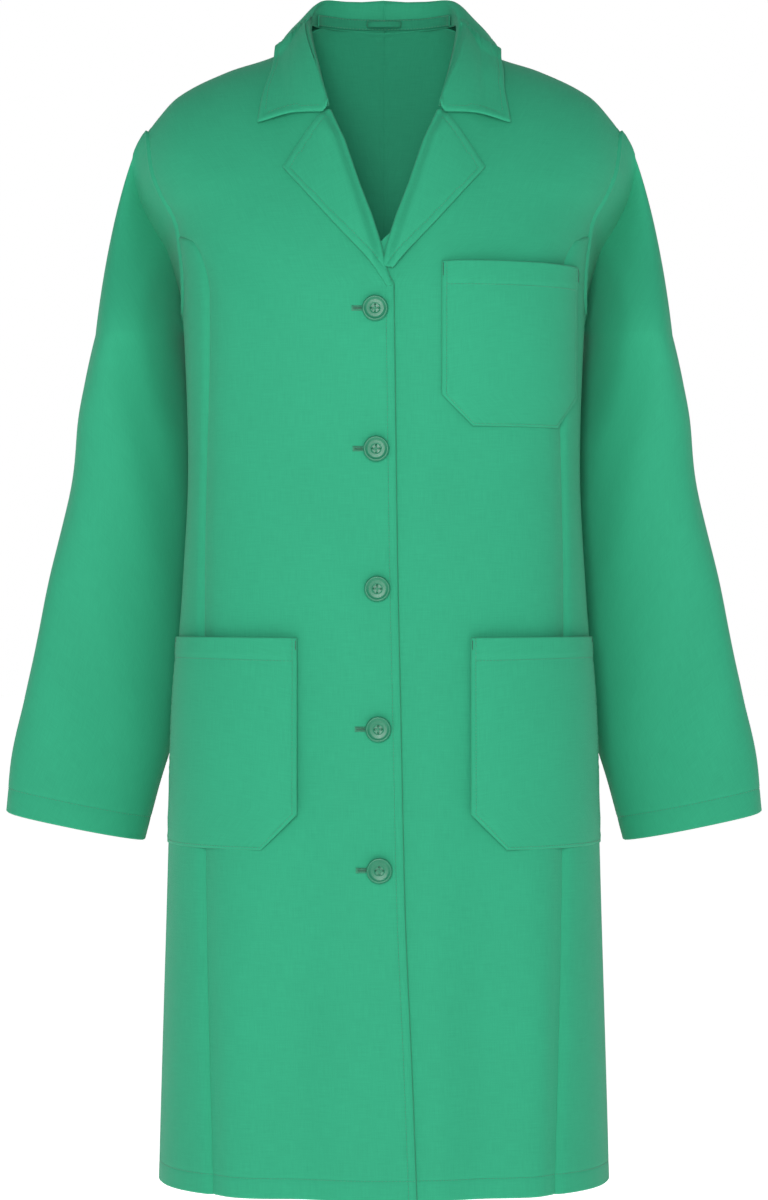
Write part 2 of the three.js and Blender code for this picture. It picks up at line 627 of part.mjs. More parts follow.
// Moves a point of the leaf off the body until it is the given distance away from it.
function clearOfBody(p, distance) {
  const ridge = shoulderZ(Math.abs(p.x));
  if (p.z > ridge - 3) {
    p.z = Math.max(p.z, ridge + distance);
    return;
  }
  const [turn, lvl] = frontPlace(p.x, p.z);
  const place = p.y < 0 ? turn : Math.sign(turn) * Math.PI - turn;
  const normal = bodyNormal(place, lvl);
  const height = p.clone().sub(bodyPoint(place, lvl)).dot(normal);
  if (height < distance) p.addScaledVector(normal, distance - height);
}
function collarSection(t) {
  const lines = [neckSeam, rollLine, leafEdge];
  const [seam, roll, edge] = lines.map((line) => new THREE.CatmullRomCurve3(line).getPoint(t));
  const outward = edge.clone().sub(seam).setZ(0).normalize();
  const turnOver = roll.clone().addScaledVector(outward, 5).add(new THREE.Vector3(0, 0, -2));
  const belly = roll.clone().lerp(edge, 0.45).addScaledVector(outward, 3.5).add(new THREE.Vector3(0, 0, 2));
  const stand = seam.clone().lerp(roll, 0.55);
  const profile = new THREE.CatmullRomCurve3([seam, stand, roll, turnOver, belly, edge]);
  const points = COLLAR_STOPS.map((stop) => profile.getPoint(stop));
  const nearEnd = THREE.MathUtils.smoothstep(t, 0.84, 1);
  points.forEach((p, i) => {
    const leaf = Math.max(0, (COLLAR_STOPS[i] - 0.4) / 0.6);
    const tent = leaf < 0.28 ? leaf / 0.28 : (1 - leaf) / 0.72;
    p.z -= NOTCH_DROP * tent * nearEnd;
    if (i >= FOLD_STOP) clearOfBody(p, COLLAR_LIFT);
  });
  return points;
}
function collarGrid() {
  const half = [];
  for (let i = 0; i <= COLLAR_STATIONS; i += 1) half.push(collarSection(1 - i / COLLAR_STATIONS));
  const mirrorPoint = (p) => new THREE.Vector3(-p.x, p.y, p.z);
  const other = half.slice(0, -1).reverse().map((line) => line.map(mirrorPoint));
  const lines = [...half, ...other];
  const grid = [];
  for (let j = 0; j <= COLLAR_ACROSS; j += 1) {
    grid.push(lines.map((line, i) => {
      const along = lines[Math.min(i + 1, lines.length - 1)][j].clone().sub(lines[Math.max(i - 1, 0)][j]);
      const across = line[Math.min(j + 1, COLLAR_ACROSS)].clone().sub(line[Math.max(j - 1, 0)]);
      return { point: line[j], normal: along.cross(across).normalize() };
    }));
  }
  return grid;
}
const collar = collarGrid();
addPiece('upper_collar', sheetSolid(collar, () => COLLAR_GAP / 2 + CLOTH));
addPiece('under_collar', sheetSolid(collar, () => -COLLAR_GAP / 2));

// ---------------------------------------------------------------- neck tape and hanger loop

const TAPE_HEIGHT = 9;
const TAPE_LIFT = COLLAR_GAP / 2 + CLOTH + 3 * PLY_GAP; // from the collar's middle to the tape
const tapeRows = [0, 1].map((j) => {
  const seam = new THREE.CatmullRomCurve3(neckSeam.slice(0, 4));
  const roll = new THREE.CatmullRomCurve3(rollLine.slice(0, 4));
  const line = [];
  for (let i = -8; i <= 8; i += 1) {
    const t = Math.abs(i) / 8 * 0.78;
    const base = seam.getPoint(t);
    const up = roll.getPoint(t).sub(base).normalize();
    const p = base.addScaledVector(up, 0.5 + j * TAPE_HEIGHT);
    if (i > 0) p.x = -p.x;
    line.push(p);
  }
  return line;
});
const tapeGrid = tapeRows.map((line) => line.map((point, i) => {
  const along = line[Math.min(i + 1, 16)].clone().sub(line[Math.max(i - 1, 0)]);
  const up = tapeRows[1][i].clone().sub(tapeRows[0][i]);
  return { point, normal: along.cross(up).normalize() };
}));
addPiece('neck_tape', sheetSolid(tapeGrid, () => TAPE_LIFT + CLOTH), INSIDE_COLOR);

// The loop is a narrow strip that bows away from the tape, so that a hook passes behind it.
const LOOP_BACK_Y = NAPE_Y + 1.5 - (TAPE_LIFT + CLOTH) - 4.5 * PLY_GAP;
const LOOP_Z = BACK_NECK_Z + 6;
function loopSolid() {
  const shape = new THREE.Shape();
  const outerPoints = [];
  const innerPoints = [];
  const steps = 12;
  for (let i = 0; i <= steps; i += 1) {
    const a = (Math.PI * i) / steps;
    const bow = Math.sin(a) ** 0.7;
    outerPoints.push(new THREE.Vector2((LOOP_WIDTH / 2) * Math.cos(a), -1.2 - (LOOP_BOW - 1.2) * bow));
    innerPoints.push(new THREE.Vector2((LOOP_WIDTH / 2) * Math.cos(a), -(LOOP_BOW - 1.2) * bow));
  }
  shape.setFromPoints([...outerPoints, ...innerPoints.reverse()]);
  const geometry = new THREE.ExtrudeGeometry(shape, { depth: LOOP_STRIP, bevelEnabled: false });
  geometry.translate(0, LOOP_BACK_Y - 0.6, LOOP_Z - LOOP_STRIP / 2);
  return geometry;
}
addPiece('hanger_loop', loopSolid(), INSIDE_COLOR);

// ---------------------------------------------------------------- sleeves

// Rings for the wearer's left arm. Each is a list of points, starting at the top or outer side and
// going towards the front, the inner side and the back.
const ringShare = (i) => (2 * Math.PI * i) / SLEEVE_SEGMENTS;

// The armhole: front half from the shoulder down to the underarm, back half up again.
function armholeRing() {
  const points = [];
  for (let i = 0; i < SLEEVE_SEGMENTS; i += 1) {
    const a = ringShare(i);
    const isFront = a <= Math.PI;
    const t = isFront ? a / Math.PI : 2 - a / Math.PI;
    const lvl = THREE.MathUtils.lerp(RIDGE, UNDERARM_Z, (1 - Math.cos(Math.PI * t)) / 2);
    const beyond = ARMHOLE_CLEARANCE / frontDepth(lvl);
    const turn = Math.min(Math.PI / 2, armholeTurn(lvl) + beyond);
    const place = isFront ? turn : Math.PI - turn;
    const out = new THREE.Vector3(1 + 0.8 * t, 0, -0.6 * t);
    const spot = bodyPoint(place, lvl).addScaledVector(out, ARMHOLE_CLEARANCE);
    spot.z -= ARMHOLE_CLEARANCE * 5 * t ** 4;
    if (t === 0) spot.y = 0;
    points.push(spot);
  }
  return points;
}

// Lower stations: height, gap from the torso's side to the sleeve's innermost point, distance behind
// the side seam, half lengths of the oval, its angle from the X axis, and the tilt of its plane.
const SLEEVE_STATIONS = [
  { z: UNDERARM_Z - 17, inner: -1, back: 28, long: 72, short: 34.6, angle: 72, tilt: 0 },
  { z: UNDERARM_Z - 62, inner: -3, back: 30, long: 67, short: 37.6, angle: 60, tilt: 2 },
  { z: WAIST_Z + 20, inner: -5.4, back: 32, long: 64, short: 43, angle: 48, tilt: 4 },
  { z: WAIST_Z - 60, inner: -6.6, back: 35, long: 67, short: 40, angle: 34, tilt: 6 },
  { z: HIP_Z + 88, inner: -5, back: 38, long: 69.5, short: 37, angle: 25, tilt: 8 },
  { z: HIP_Z + 5, inner: 0.8, back: 36, long: 70.5, short: 35, angle: 18, tilt: 10 },
  { z: CUFF_Z + 46.5, inner: 14, back: 34, long: 68, short: 36, angle: 12, tilt: 12 },
  { z: CUFF_Z, inner: 25, back: 32, long: 64, short: 37, angle: 10, tilt: 12 },
];
function stationRing({ z, inner, back, long, short, angle, tilt }) {
  const lean = THREE.MathUtils.degToRad(angle);
  const cant = THREE.MathUtils.degToRad(tilt);
  const reach = Math.hypot(long * Math.cos(lean), short * Math.sin(lean));
  const centreX = halfWidth(z) + inner + reach * Math.cos(cant);
  const points = [];
  for (let i = 0; i < SLEEVE_SEGMENTS; i += 1) {
    const a = ringShare(i);
    const alongLong = long * Math.cos(a + lean);
    const alongShort = -short * Math.sin(a + lean);
    const u = alongLong * Math.cos(lean) - alongShort * Math.sin(lean);
    const v = -alongLong * Math.sin(lean) - alongShort * Math.cos(lean);
    points.push(new THREE.Vector3(centreX + u * Math.cos(cant), back + v, z + u * Math.sin(cant)));
  }
  return points;
}

function sleeveRings() {
  const top = armholeRing();
  const stations = SLEEVE_STATIONS.map(stationRing);
  const rings = [top];
  const capSteps = 5;
  for (let k = 1; k < capSteps; k += 1) {
    const s = k / capSteps;
    rings.push(top.map((p, i) => {
      const q = stations[0][i];
      const upper = (1 + Math.cos(ringShare(i))) / 2;
      const leave = new THREE.Vector3(0.85, 0, -0.5).multiplyScalar(70 * upper);
      leave.z -= 20;
      leave.y += (q.y - p.y) * 0.6;
      const arrive = new THREE.Vector3(0.1, 0, -1).multiplyScalar(p.z - q.z);
      const ends = [2 * s ** 3 - 3 * s ** 2 + 1, 3 * s ** 2 - 2 * s ** 3];
      const slopes = [s ** 3 - 2 * s ** 2 + s, s ** 3 - s ** 2];
      return new THREE.Vector3()
        .addScaledVector(p, ends[0]).addScaledVector(leave, slopes[0])
        .addScaledVector(q, ends[1]).addScaledVector(arrive, slopes[1]);
    }));
  }
  return [...rings, ...stations];
}

function sleeveSolid() {
  const rings = sleeveRings();
  const count = SLEEVE_SEGMENTS;
  const grid = rings.map((ring, j) => ring.map((point, i) => {
    const around = ring[(i + 1) % count].clone().sub(ring[(i + count - 1) % count]);
    const down = rings[Math.min(j + 1, rings.length - 1)][i].clone().sub(rings[Math.max(j - 1, 0)][i]);
    return { point, normal: around.cross(down).normalize() };
  }));
  return sheetSolid(grid, () => CLOTH / 2, CLOTH, true);
}
addPiece('left_sleeve', sleeveSolid());
addPiece('right_sleeve', mirrored(sleeveSolid()));

// ---------------------------------------------------------------- pockets

// A patch pocket: sewn down round its sides and bottom, standing open a little at its mouth.
function pocket(firstEdge, secondEdge, bulge, columns) {
  const grid = bodyGrid(firstEdge, secondEdge, 7, columns);
  const lift = (u, v) => {
    const across = 1 - Math.abs(2 * u - 1) ** 4;
    const up = Math.sin((Math.PI / 2) * Math.min(1, v * 1.4));
    return POCKET_LIFT + CLOTH + bulge * across * up;
  };
  return sheetSolid(grid, lift);
}
const cornered = (x, z, cornerX, height) => (v) => {
  const up = v < 0.25 ? (v / 0.25) * height : height + ((v - 0.25) / 0.75) * (z.top - z.bottom - height);
  const cut = v < 0.25 ? cornerX * (1 - v / 0.25) : 0;
  return frontPlace(x + cut, z.bottom + up);
};
const chestSpan = { bottom: CHEST_POCKET_BOTTOM_Z, top: CHEST_POCKET_TOP_Z };
addPiece('chest_pocket', pocket(
  cornered(CHEST_POCKET_INNER_X, chestSpan, CHEST_POCKET_INNER_CORNER, CHEST_POCKET_INNER_CORNER),
  cornered(CHEST_POCKET_OUTER_X, chestSpan, -CHEST_POCKET_OUTER_CORNER, CHEST_POCKET_INNER_CORNER),
  CHEST_POCKET_BULGE,
  6,
));
const lowerSpan = { bottom: LOWER_POCKET_BOTTOM_Z, top: LOWER_POCKET_TOP_Z };
const lowerPocket = pocket(
  cornered(LOWER_POCKET_INNER_X, lowerSpan, LOWER_POCKET_CORNER, LOWER_POCKET_CORNER),
  (v) => [Math.PI / 2 - POCKET_SIDE_MARGIN, THREE.MathUtils.lerp(lowerSpan.bottom, lowerSpan.top, v)],
  LOWER_POCKET_BULGE,
  8,
);
addPiece('left_lower_pocket', lowerPocket);
addPiece('right_lower_pocket', mirrored(lowerPocket));

// ---------------------------------------------------------------- buttons

// Turned about Y with its front towards +Y, then swung round to face -Y.
const facingOut = (geometry) => geometry.rotateX(Math.PI);

function buttonSolid() {
  const t = BUTTON_THICKNESS;
  const profile = [
    [0, 0], [BUTTON_R - 1.5, 0], [BUTTON_R, 1], [BUTTON_R, t - 0.9], [BUTTON_R - 0.9, t],
    [BUTTON_R - BUTTON_RIM + 0.9, t], [BUTTON_R - BUTTON_RIM, t - 0.9], [0, t - 1],
  ].map(([r, y]) => new THREE.Vector2(r, y));
  const disc = new THREE.LatheGeometry(profile, 16);
  const drill = () => new THREE.CylinderGeometry(BUTTON_HOLE_R, BUTTON_HOLE_R, 3 * t, 6);
  return facingOut(cutAll(disc, holeCentres().map(([x, z]) => drill().translate(x, 0, z))));
}
function holeCentres() {
  const d = BUTTON_HOLE_FROM_CENTRE;
  return [[d, 0], [-d, 0], [0, d], [0, -d]];
}

// Sewing thread: a wound shank under the button, a strand through each hole and a cross on top.
function threadSolid() {
  const shankLength = BUTTON_LIFT - UNDER_LIFT - 0.6;
  const fan = BUTTON_HOLE_FROM_CENTRE + THREAD_R;
  const profile = [
    [0, -0.3 - shankLength], [SHANK_R, -0.3 - shankLength], [SHANK_R, -0.9],
    [fan, -0.6], [fan, -0.3], [0, -0.3],
  ].map(([r, y]) => new THREE.Vector2(r, y));
  const shank = new THREE.LatheGeometry(profile, 6);
  const top = BUTTON_THICKNESS - 1 + 0.3;
  const strands = holeCentres().map(([x, z]) => {
    const strand = new THREE.CylinderGeometry(THREAD_R, THREAD_R, top + 0.8, 4);
    return strand.translate(x, (top + 0.8) / 2 - 0.5, z);
  });
  const bar = (w, d) => new THREE.BoxGeometry(w, 0.8, d).translate(0, top + 0.4, 0);
  const span = 2 * (BUTTON_HOLE_FROM_CENTRE + THREAD_R * 0.6);
  return facingOut(joinAll([shank, ...strands, bar(span, 0.8), bar(0.8, span)]));
}

const oneButton = buttonSolid();
const oneThread = threadSolid();
buttonNumbers.forEach((n) => {
  const place = buttonAt(n);
  const spot = [place.x, place.y - BUTTON_LIFT, place.z];
  addPiece(`button_${n + 1}`, oneButton.clone(), BUTTON_COLOR, 0.35).position.set(...spot);
  addPiece(`button_thread_${n + 1}`, oneThread.clone(), THREAD_COLOR).position.set(...spot);
});

// The sewn rim round each buttonhole.
buttonNumbers.forEach((n) => {
  const place = buttonAt(n);
  const centre = slitCentre(place).setY(place.y - STITCH_LIFT);
  const rim = slot(SLIT_WIDTH + 2 * STITCH_WIDTH, SLIT_HEIGHT + 2 * STITCH_WIDTH, STITCH_THICKNESS, centre);
  const hole = slot(SLIT_WIDTH, SLIT_HEIGHT, 3, centre);
  addPiece(`buttonhole_stitching_${n + 1}`, cutAll(rim, [hole]), THREAD_COLOR);
});

// ---------------------------------------------------------------- origin at the hanger loop

coat.position.set(0, -(LOOP_BACK_Y - LOOP_BOW / 2), -LOOP_Z);

export default coat;
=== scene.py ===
"""A green lab coat, buttoned up and hanging as if worn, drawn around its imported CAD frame.

Cloth pieces are laid out in the coat's own millimetres: z = 0 at the hem, x = 0 at the centre line,
y = 0 at the side seams, with the front towards -y. The last step moves them into the frame.
"""

import json
import math

import bpy
import numpy as np
from mathutils import Matrix, Vector


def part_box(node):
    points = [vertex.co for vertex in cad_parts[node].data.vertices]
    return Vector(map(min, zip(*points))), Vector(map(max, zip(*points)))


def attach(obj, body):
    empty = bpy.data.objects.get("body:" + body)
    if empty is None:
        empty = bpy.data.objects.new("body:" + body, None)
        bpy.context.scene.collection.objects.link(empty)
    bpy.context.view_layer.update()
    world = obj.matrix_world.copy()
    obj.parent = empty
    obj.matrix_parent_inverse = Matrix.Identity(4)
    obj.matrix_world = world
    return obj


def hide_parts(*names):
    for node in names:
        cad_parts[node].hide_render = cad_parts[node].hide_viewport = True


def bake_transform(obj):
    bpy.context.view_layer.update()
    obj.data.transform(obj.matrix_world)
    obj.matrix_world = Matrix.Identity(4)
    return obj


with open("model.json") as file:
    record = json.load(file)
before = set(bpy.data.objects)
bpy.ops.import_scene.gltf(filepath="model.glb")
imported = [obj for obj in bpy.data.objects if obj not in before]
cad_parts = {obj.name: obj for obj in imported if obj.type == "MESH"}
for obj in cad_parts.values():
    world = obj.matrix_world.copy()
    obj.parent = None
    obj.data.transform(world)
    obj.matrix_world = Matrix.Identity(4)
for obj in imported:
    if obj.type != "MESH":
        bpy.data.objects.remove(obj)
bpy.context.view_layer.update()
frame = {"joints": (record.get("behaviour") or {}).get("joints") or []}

# ---------------------------------------------------------------- place of the coat in the frame

JOINTS = {joint["name"]: joint for joint in frame["joints"]}
SHOULDER_TIP = np.array([-208.0, 0.0, 915.0])
ORIGIN = np.array(JOINTS["right_sleeve_lift"]["pos_m"]) - SHOULDER_TIP / 1000


def to_frame(points):
    return ORIGIN + np.asarray(points, float) / 1000


# ---------------------------------------------------------------- camera, light and floor

CAMERA_DISTANCE = 3100
VIEW_CENTRE_Z = 503
VIEW_HEIGHT = 1056
SENSOR = 36.0

camera_data = bpy.data.cameras.new("camera")
camera_data.sensor_width = SENSOR
camera_data.lens = SENSOR * CAMERA_DISTANCE / VIEW_HEIGHT
camera = bpy.data.objects.new("camera", camera_data)
bpy.context.scene.collection.objects.link(camera)
camera.location = to_frame([0, -CAMERA_DISTANCE, VIEW_CENTRE_Z])
camera.rotation_euler = (math.pi / 2, 0, 0)
bpy.context.scene.camera = camera


def area_light(name, place, target, size, power, colour=(1, 1, 1)):
    data = bpy.data.lights.new(name, "AREA")
    data.shape = "RECTANGLE"
    data.size, data.size_y = size
    data.energy = power
    data.color = colour
    lamp = bpy.data.objects.new(name, data)
    bpy.context.scene.collection.objects.link(lamp)
    lamp.location = to_frame(place)
    aim = Vector(to_frame(target)) - lamp.location
    lamp.rotation_euler = aim.to_track_quat("-Z", "Y").to_euler()
    lamp.visible_camera = False


area_light("key", (-150, -2700, 900), (0, 0, 480), (0.7, 1.3), 52)
area_light("side_right", (-2300, 500, 600), (0, 0, 500), (0.9, 2.0), 4)
area_light("side_left", (2300, 500, 600), (0, 0, 500), (0.9, 2.0), 4)
area_light("behind", (0, 2600, 1300), (0, 0, 500), (1.6, 1.6), 30)

world = bpy.data.worlds.new("studio")
bpy.context.scene.world = world
world.use_nodes = True
WORLD_LIGHT = 0.3


def light_world(tree):
    """Pure white where the camera sees it, and a weaker white as light on the coat."""
    background = tree.nodes["Background"]
    background.inputs["Color"].default_value = (1, 1, 1, 1)
    path = tree.nodes.new("ShaderNodeLightPath")
    strength = tree.nodes.new("ShaderNodeMapRange")
    strength.inputs["To Min"].default_value = WORLD_LIGHT
    strength.inputs["To Max"].default_value = 1.0
    tree.links.new(path.outputs["Is Camera Ray"], strength.inputs["Value"])
    tree.links.new(strength.outputs["Result"], background.inputs["Strength"])


light_world(world.node_tree)
bpy.context.scene.view_settings.view_transform = "Standard"

FLOOR_DROP = 420
FLOOR_SIZE = 60.0


def make_floor():
    half = FLOOR_SIZE / 2
    height = to_frame([0, 0, -FLOOR_DROP])[2]
    corners = [(-half, -half, height), (half, -half, height), (half, half, height), (-half, half, height)]
    mesh = bpy.data.meshes.new("floor")
    mesh.from_pydata(corners, [], [(0, 1, 2, 3)])
    floor = bpy.data.objects.new("floor", mesh)
    bpy.context.scene.collection.objects.link(floor)
    material = bpy.data.materials.new("floor")
    material.use_nodes = True
    shader = material.node_tree.nodes["Principled BSDF"]
    shader.inputs["Base Color"].default_value = (0.9, 0.9, 0.9, 1)
    shader.inputs["Roughness"].default_value = 0.9
    shader.inputs["Emission Color"].default_value = (1, 1, 1, 1)
    shader.inputs["Emission Strength"].default_value = 0.75
    mesh.materials.append(material)


make_floor()

# ---------------------------------------------------------------- materials

BRIGHT = (0.024, 0.318, 0.170)
SHADE = (0.0175, 0.262, 0.138)
THREAD = (0.018, 0.205, 0.108)
PLASTIC = (0.013, 0.165, 0.086)
THREADS_PER_METRE = 1500.0


def new_material(name, roughness):
    material = bpy.data.materials.new(name)
    material.use_nodes = True
    tree = material.node_tree
    shader = tree.nodes["Principled BSDF"]
    shader.inputs["Roughness"].default_value = roughness
    return material, tree, shader


def scaled_noise(tree, source, scale, detail, distortion=0.0):
    """A noise stretched by the given scale along the cloth's two directions."""
    mapping = tree.nodes.new("ShaderNodeMapping")
    mapping.inputs["Scale"].default_value = scale
    noise = tree.nodes.new("ShaderNodeTexNoise")
    noise.inputs["Scale"].default_value = 1.0
    noise.inputs["Detail"].default_value = detail
    noise.inputs["Distortion"].default_value = distortion
    tree.links.new(source, mapping.inputs["Vector"])
    tree.links.new(mapping.outputs["Vector"], noise.inputs["Vector"])
    return noise.outputs["Fac"]


def maths(tree, operation, a, b):
    node = tree.nodes.new("ShaderNodeMath")
    node.operation = operation
    for socket, value in zip(node.inputs, (a, b)):
        if isinstance(value, (int, float)):
            socket.default_value = value
        else:
            tree.links.new(value, socket)
    return node.outputs["Value"]


def cloth_material(name, light, dark, weave_depth=0.00012):
    """Plain-woven cotton: warp and weft yarns, slubs along both, a faint mottle and a soft sheen."""
    material, tree, shader = new_material(name, 0.82)
    place = tree.nodes.new("ShaderNodeAttribute")
    place.attribute_name = "cloth_place"
    source = place.outputs["Vector"]
    split = tree.nodes.new("ShaderNodeSeparateXYZ")
    tree.links.new(source, split.inputs["Vector"])
    warp = maths(tree, "SINE", maths(tree, "MULTIPLY", split.outputs["X"], THREADS_PER_METRE * math.tau), 0)
    weft = maths(tree, "SINE", maths(tree, "MULTIPLY", split.outputs["Y"], THREADS_PER_METRE * math.tau), 0)
    weave = maths(tree, "MULTIPLY", warp, weft)
    warp_slub = scaled_noise(tree, source, (1400, 60, 1), 2)
    weft_slub = scaled_noise(tree, source, (60, 1400, 1), 2)
    mottle = scaled_noise(tree, source, (16, 11, 1), 3)
    slub = maths(tree, "ADD", warp_slub, weft_slub)
    tone = maths(tree, "ADD", maths(tree, "MULTIPLY", slub, 0.46), maths(tree, "MULTIPLY", mottle, 0.2))
    tone = maths(tree, "ADD", tone, maths(tree, "MULTIPLY", weave, 0.05))
    ramp = tree.nodes.new("ShaderNodeValToRGB")
    ramp.color_ramp.elements[0].position = 0.34
    ramp.color_ramp.elements[0].color = (*dark, 1)
    ramp.color_ramp.elements[1].position = 0.78
    ramp.color_ramp.elements[1].color = (*light, 1)
    tree.links.new(tone, ramp.inputs["Fac"])
    tree.links.new(ramp.outputs["Color"], shader.inputs["Base Color"])
    height = maths(tree, "ADD", weave, maths(tree, "MULTIPLY", slub, 1.6))
    bump = tree.nodes.new("ShaderNodeBump")
    bump.inputs["Strength"].default_value = 0.35
    bump.inputs["Distance"].default_value = weave_depth
    tree.links.new(height, bump.inputs["Height"])
    tree.links.new(bump.outputs["Normal"], shader.inputs["Normal"])
    roughness = maths(tree, "ADD", maths(tree, "MULTIPLY", mottle, 0.12), 0.74)
    tree.links.new(roughness, shader.inputs["Roughness"])
    shader.inputs["Sheen Weight"].default_value = 0.12
    shader.inputs["Sheen Roughness"].default_value = 0.45
    shader.inputs["Sheen Tint"].default_value = (0.55, 1.0, 0.8, 1)
    shader.inputs["Specular IOR Level"].default_value = 0.22
    return material


def thread_material(name, colour):
    material, tree, shader = new_material(name, 0.6)
    place = tree.nodes.new("ShaderNodeTexCoord")
    noise = scaled_noise(tree, place.outputs["Object"], (700, 700, 700), 2)
    ramp = tree.nodes.new("ShaderNodeValToRGB")
    ramp.color_ramp.elements[0].color = (*(0.75 * c for c in colour), 1)
    ramp.color_ramp.elements[1].color = (*(1.2 * c for c in colour), 1)
    tree.links.new(noise, ramp.inputs["Fac"])
    tree.links.new(ramp.outputs["Color"], shader.inputs["Base Color"])
    shader.inputs["Sheen Weight"].default_value = 0.2
    return material


def plastic_material(name, colour):
    """Moulded polyester: a faint cloud in the colour and fine scuffs in the gloss."""
    material, tree, shader = new_material(name, 0.3)
    place = tree.nodes.new("ShaderNodeTexCoord")
    cloud = scaled_noise(tree, place.outputs["Object"], (160, 160, 160), 3)
    scuff = scaled_noise(tree, place.outputs["Object"], (2200, 2200, 300), 2)
    ramp = tree.nodes.new("ShaderNodeValToRGB")
    ramp.color_ramp.elements[0].color = (*(0.85 * c for c in colour), 1)
    ramp.color_ramp.elements[1].color = (*(1.15 * c for c in colour), 1)
    tree.links.new(cloud, ramp.inputs["Fac"])
    tree.links.new(ramp.outputs["Color"], shader.inputs["Base Color"])
    roughness = maths(tree, "ADD", maths(tree, "MULTIPLY", scuff, 0.18), 0.24)
    tree.links.new(roughness, shader.inputs["Roughness"])
    shader.inputs["Specular IOR Level"].default_value = 0.3
    return material


CLOTH = cloth_material("coat_cloth", BRIGHT, SHADE)
# The neck tape and hanger loop cloth: a darker copy of the coat cloth, painted shade for the inside of the
# neck.
SHADED_TAPE = cloth_material("neck_tape", SHADE, tuple(0.7 * c for c in SHADE), 0.0003)
STITCH = thread_material("sewing_thread", THREAD)
# Half as bright as the sewing thread: painted shade, used for the buttonhole slits, the pocket tacks and
# the hanger loop's stitches.
SHADED_THREAD = thread_material("shaded_thread", tuple(0.5 * c for c in THREAD))
BUTTON = plastic_material("button_plastic", PLASTIC)

# ---------------------------------------------------------------- curves and the body surface


def through(points):
    """A smooth curve through the given (position, value) pairs, without overshoot between them."""
    xs, ys = np.array(points, float).T
    slope = np.diff(ys) / np.diff(xs)
    tangent = np.zeros_like(ys)
    tangent[0], tangent[-1] = slope[0], slope[-1]
    before, after = slope[:-1], slope[1:]
    same_way = before * after > 0
    total = np.where(same_way, before + after, 1)
    tangent[1:-1] = np.where(same_way, 2 * before * after / total, 0)

    def curve(value):
        x = np.clip(value, xs[0], xs[-1])
        i = np.clip(np.searchsorted(xs, x, side="right") - 1, 0, len(xs) - 2)
        span = xs[i + 1] - xs[i]
        s = (x - xs[i]) / span
        start = ys[i] * (2 * s**3 - 3 * s**2 + 1) + tangent[i] * span * (s**3 - 2 * s**2 + s)
        return start + ys[i + 1] * (3 * s**2 - 2 * s**3) + tangent[i + 1] * span * (s**3 - s**2)

    return curve


def smooth(value, low, high):
    t = np.clip((value - low) / (high - low), 0, 1)
    return t * t * (3 - 2 * t)


def bump_at(value, centre, width):
    return np.exp(-(((value - centre) / width) ** 2))


CHEST_Z = 760.0
RIDGE = CHEST_Z + 200
SQUARENESS = 2.5
RIDGE_ROUNDNESS = 1.8
BACK_FLATTER = 4.0
half_width = through(
    [(0, 196), (200, 190.25), (400, 184.5), (510, 176.45), (620, 171.4), (760, 176.3)]
    + [(826, 183), (840, 186.2), (868, 197.35), (908, 207.3), (960, 212.4)]
)
front_depth = through([(0, 150), (240, 140), (510, 124), (620, 121), (760, 126), (960, 120)])
shoulder_z = through(
    [(0, 1032), (40, 1028), (72, 1003), (90, 984), (138.06, 967), (180.54, 945.6)]
    + [(208.02, 915), (216.4, 905)]
)


def body_point(turn, lvl):
    """A point of the body. turn is 0 at the centre front and pi at the centre back."""
    turn, lvl = np.broadcast_arrays(np.asarray(turn, float), np.asarray(lvl, float))
    sine = np.sin(turn)
    x = half_width(lvl) * sine
    share = np.clip((lvl - CHEST_Z) / (RIDGE - CHEST_Z), 0, None)
    z = np.where(share > 0, CHEST_Z + share * (shoulder_z(np.abs(x)) - CHEST_Z), lvl)
    closing = np.clip(1 - np.minimum(share, 1) ** RIDGE_ROUNDNESS, 0, 1) ** (1 / RIDGE_ROUNDNESS)
    across = np.clip(1 - np.minimum(np.abs(sine), 1) ** SQUARENESS, 0, 1) ** (1 / SQUARENESS)
    is_front = np.cos(turn) >= 0
    depth = front_depth(lvl) - np.where(is_front, 0, BACK_FLATTER)
    y = depth * across * closing
    return np.stack([x, np.where(is_front, -y, y), z], axis=-1)


def unit(vectors):
    return vectors / np.maximum(np.linalg.norm(vectors, axis=-1, keepdims=True), 1e-9)


def body_normal(turn, lvl):
    """The outward direction, sideways at the side seams and upward at the shoulder seams."""
    step = 0.01
    turn, lvl = np.broadcast_arrays(np.asarray(turn, float), np.asarray(lvl, float))
    side = np.where(turn < 0, -1, 1) * math.pi / 2
    from_side = np.abs(turn - side)
    beyond = np.where(turn > side, 1, -1)
    t = np.where(from_side < 2 * step, side + beyond * 2 * step, turn)
    l = np.minimum(lvl, RIDGE - 1.5)
    along = body_point(t + step / 2, l) - body_point(t - step / 2, l)
    up = body_point(t, l + 0.5) - body_point(t, l - 0.5)
    normal = unit(np.cross(along, up))
    sideways = np.clip(1 - from_side / (2 * step), 0, 1)[..., None]
    sign = np.where(turn < 0, -1.0, 1.0)
    normal = unit(normal * (1 - sideways) + sideways * np.stack([sign, 0 * sign, 0 * sign], -1))
    upward = np.clip(1 - (RIDGE - lvl) / 6, 0, 1)[..., None]
    return unit(normal * (1 - upward) + upward * np.array([0, 0, 1.0]))


def level_of(x, z):
    x, z = np.asarray(x, float), np.asarray(z, float)
    stretched = CHEST_Z + (RIDGE - CHEST_Z) * (z - CHEST_Z) / (shoulder_z(np.abs(x)) - CHEST_Z)
    return np.where(z <= CHEST_Z, z, stretched)


def turn_at(x, lvl):
    return np.arcsin(np.clip(x / half_width(lvl), -1, 1))


def on_front(x, z, lift=0.0):
    """A point over the coat's front, and the normal there."""
    lvl = level_of(x, z)
    turn = turn_at(x, lvl)
    normal = body_normal(turn, lvl)
    return body_point(turn, lvl) + normal * np.asarray(lift)[..., None], normal


# ---------------------------------------------------------------- meshes from grids


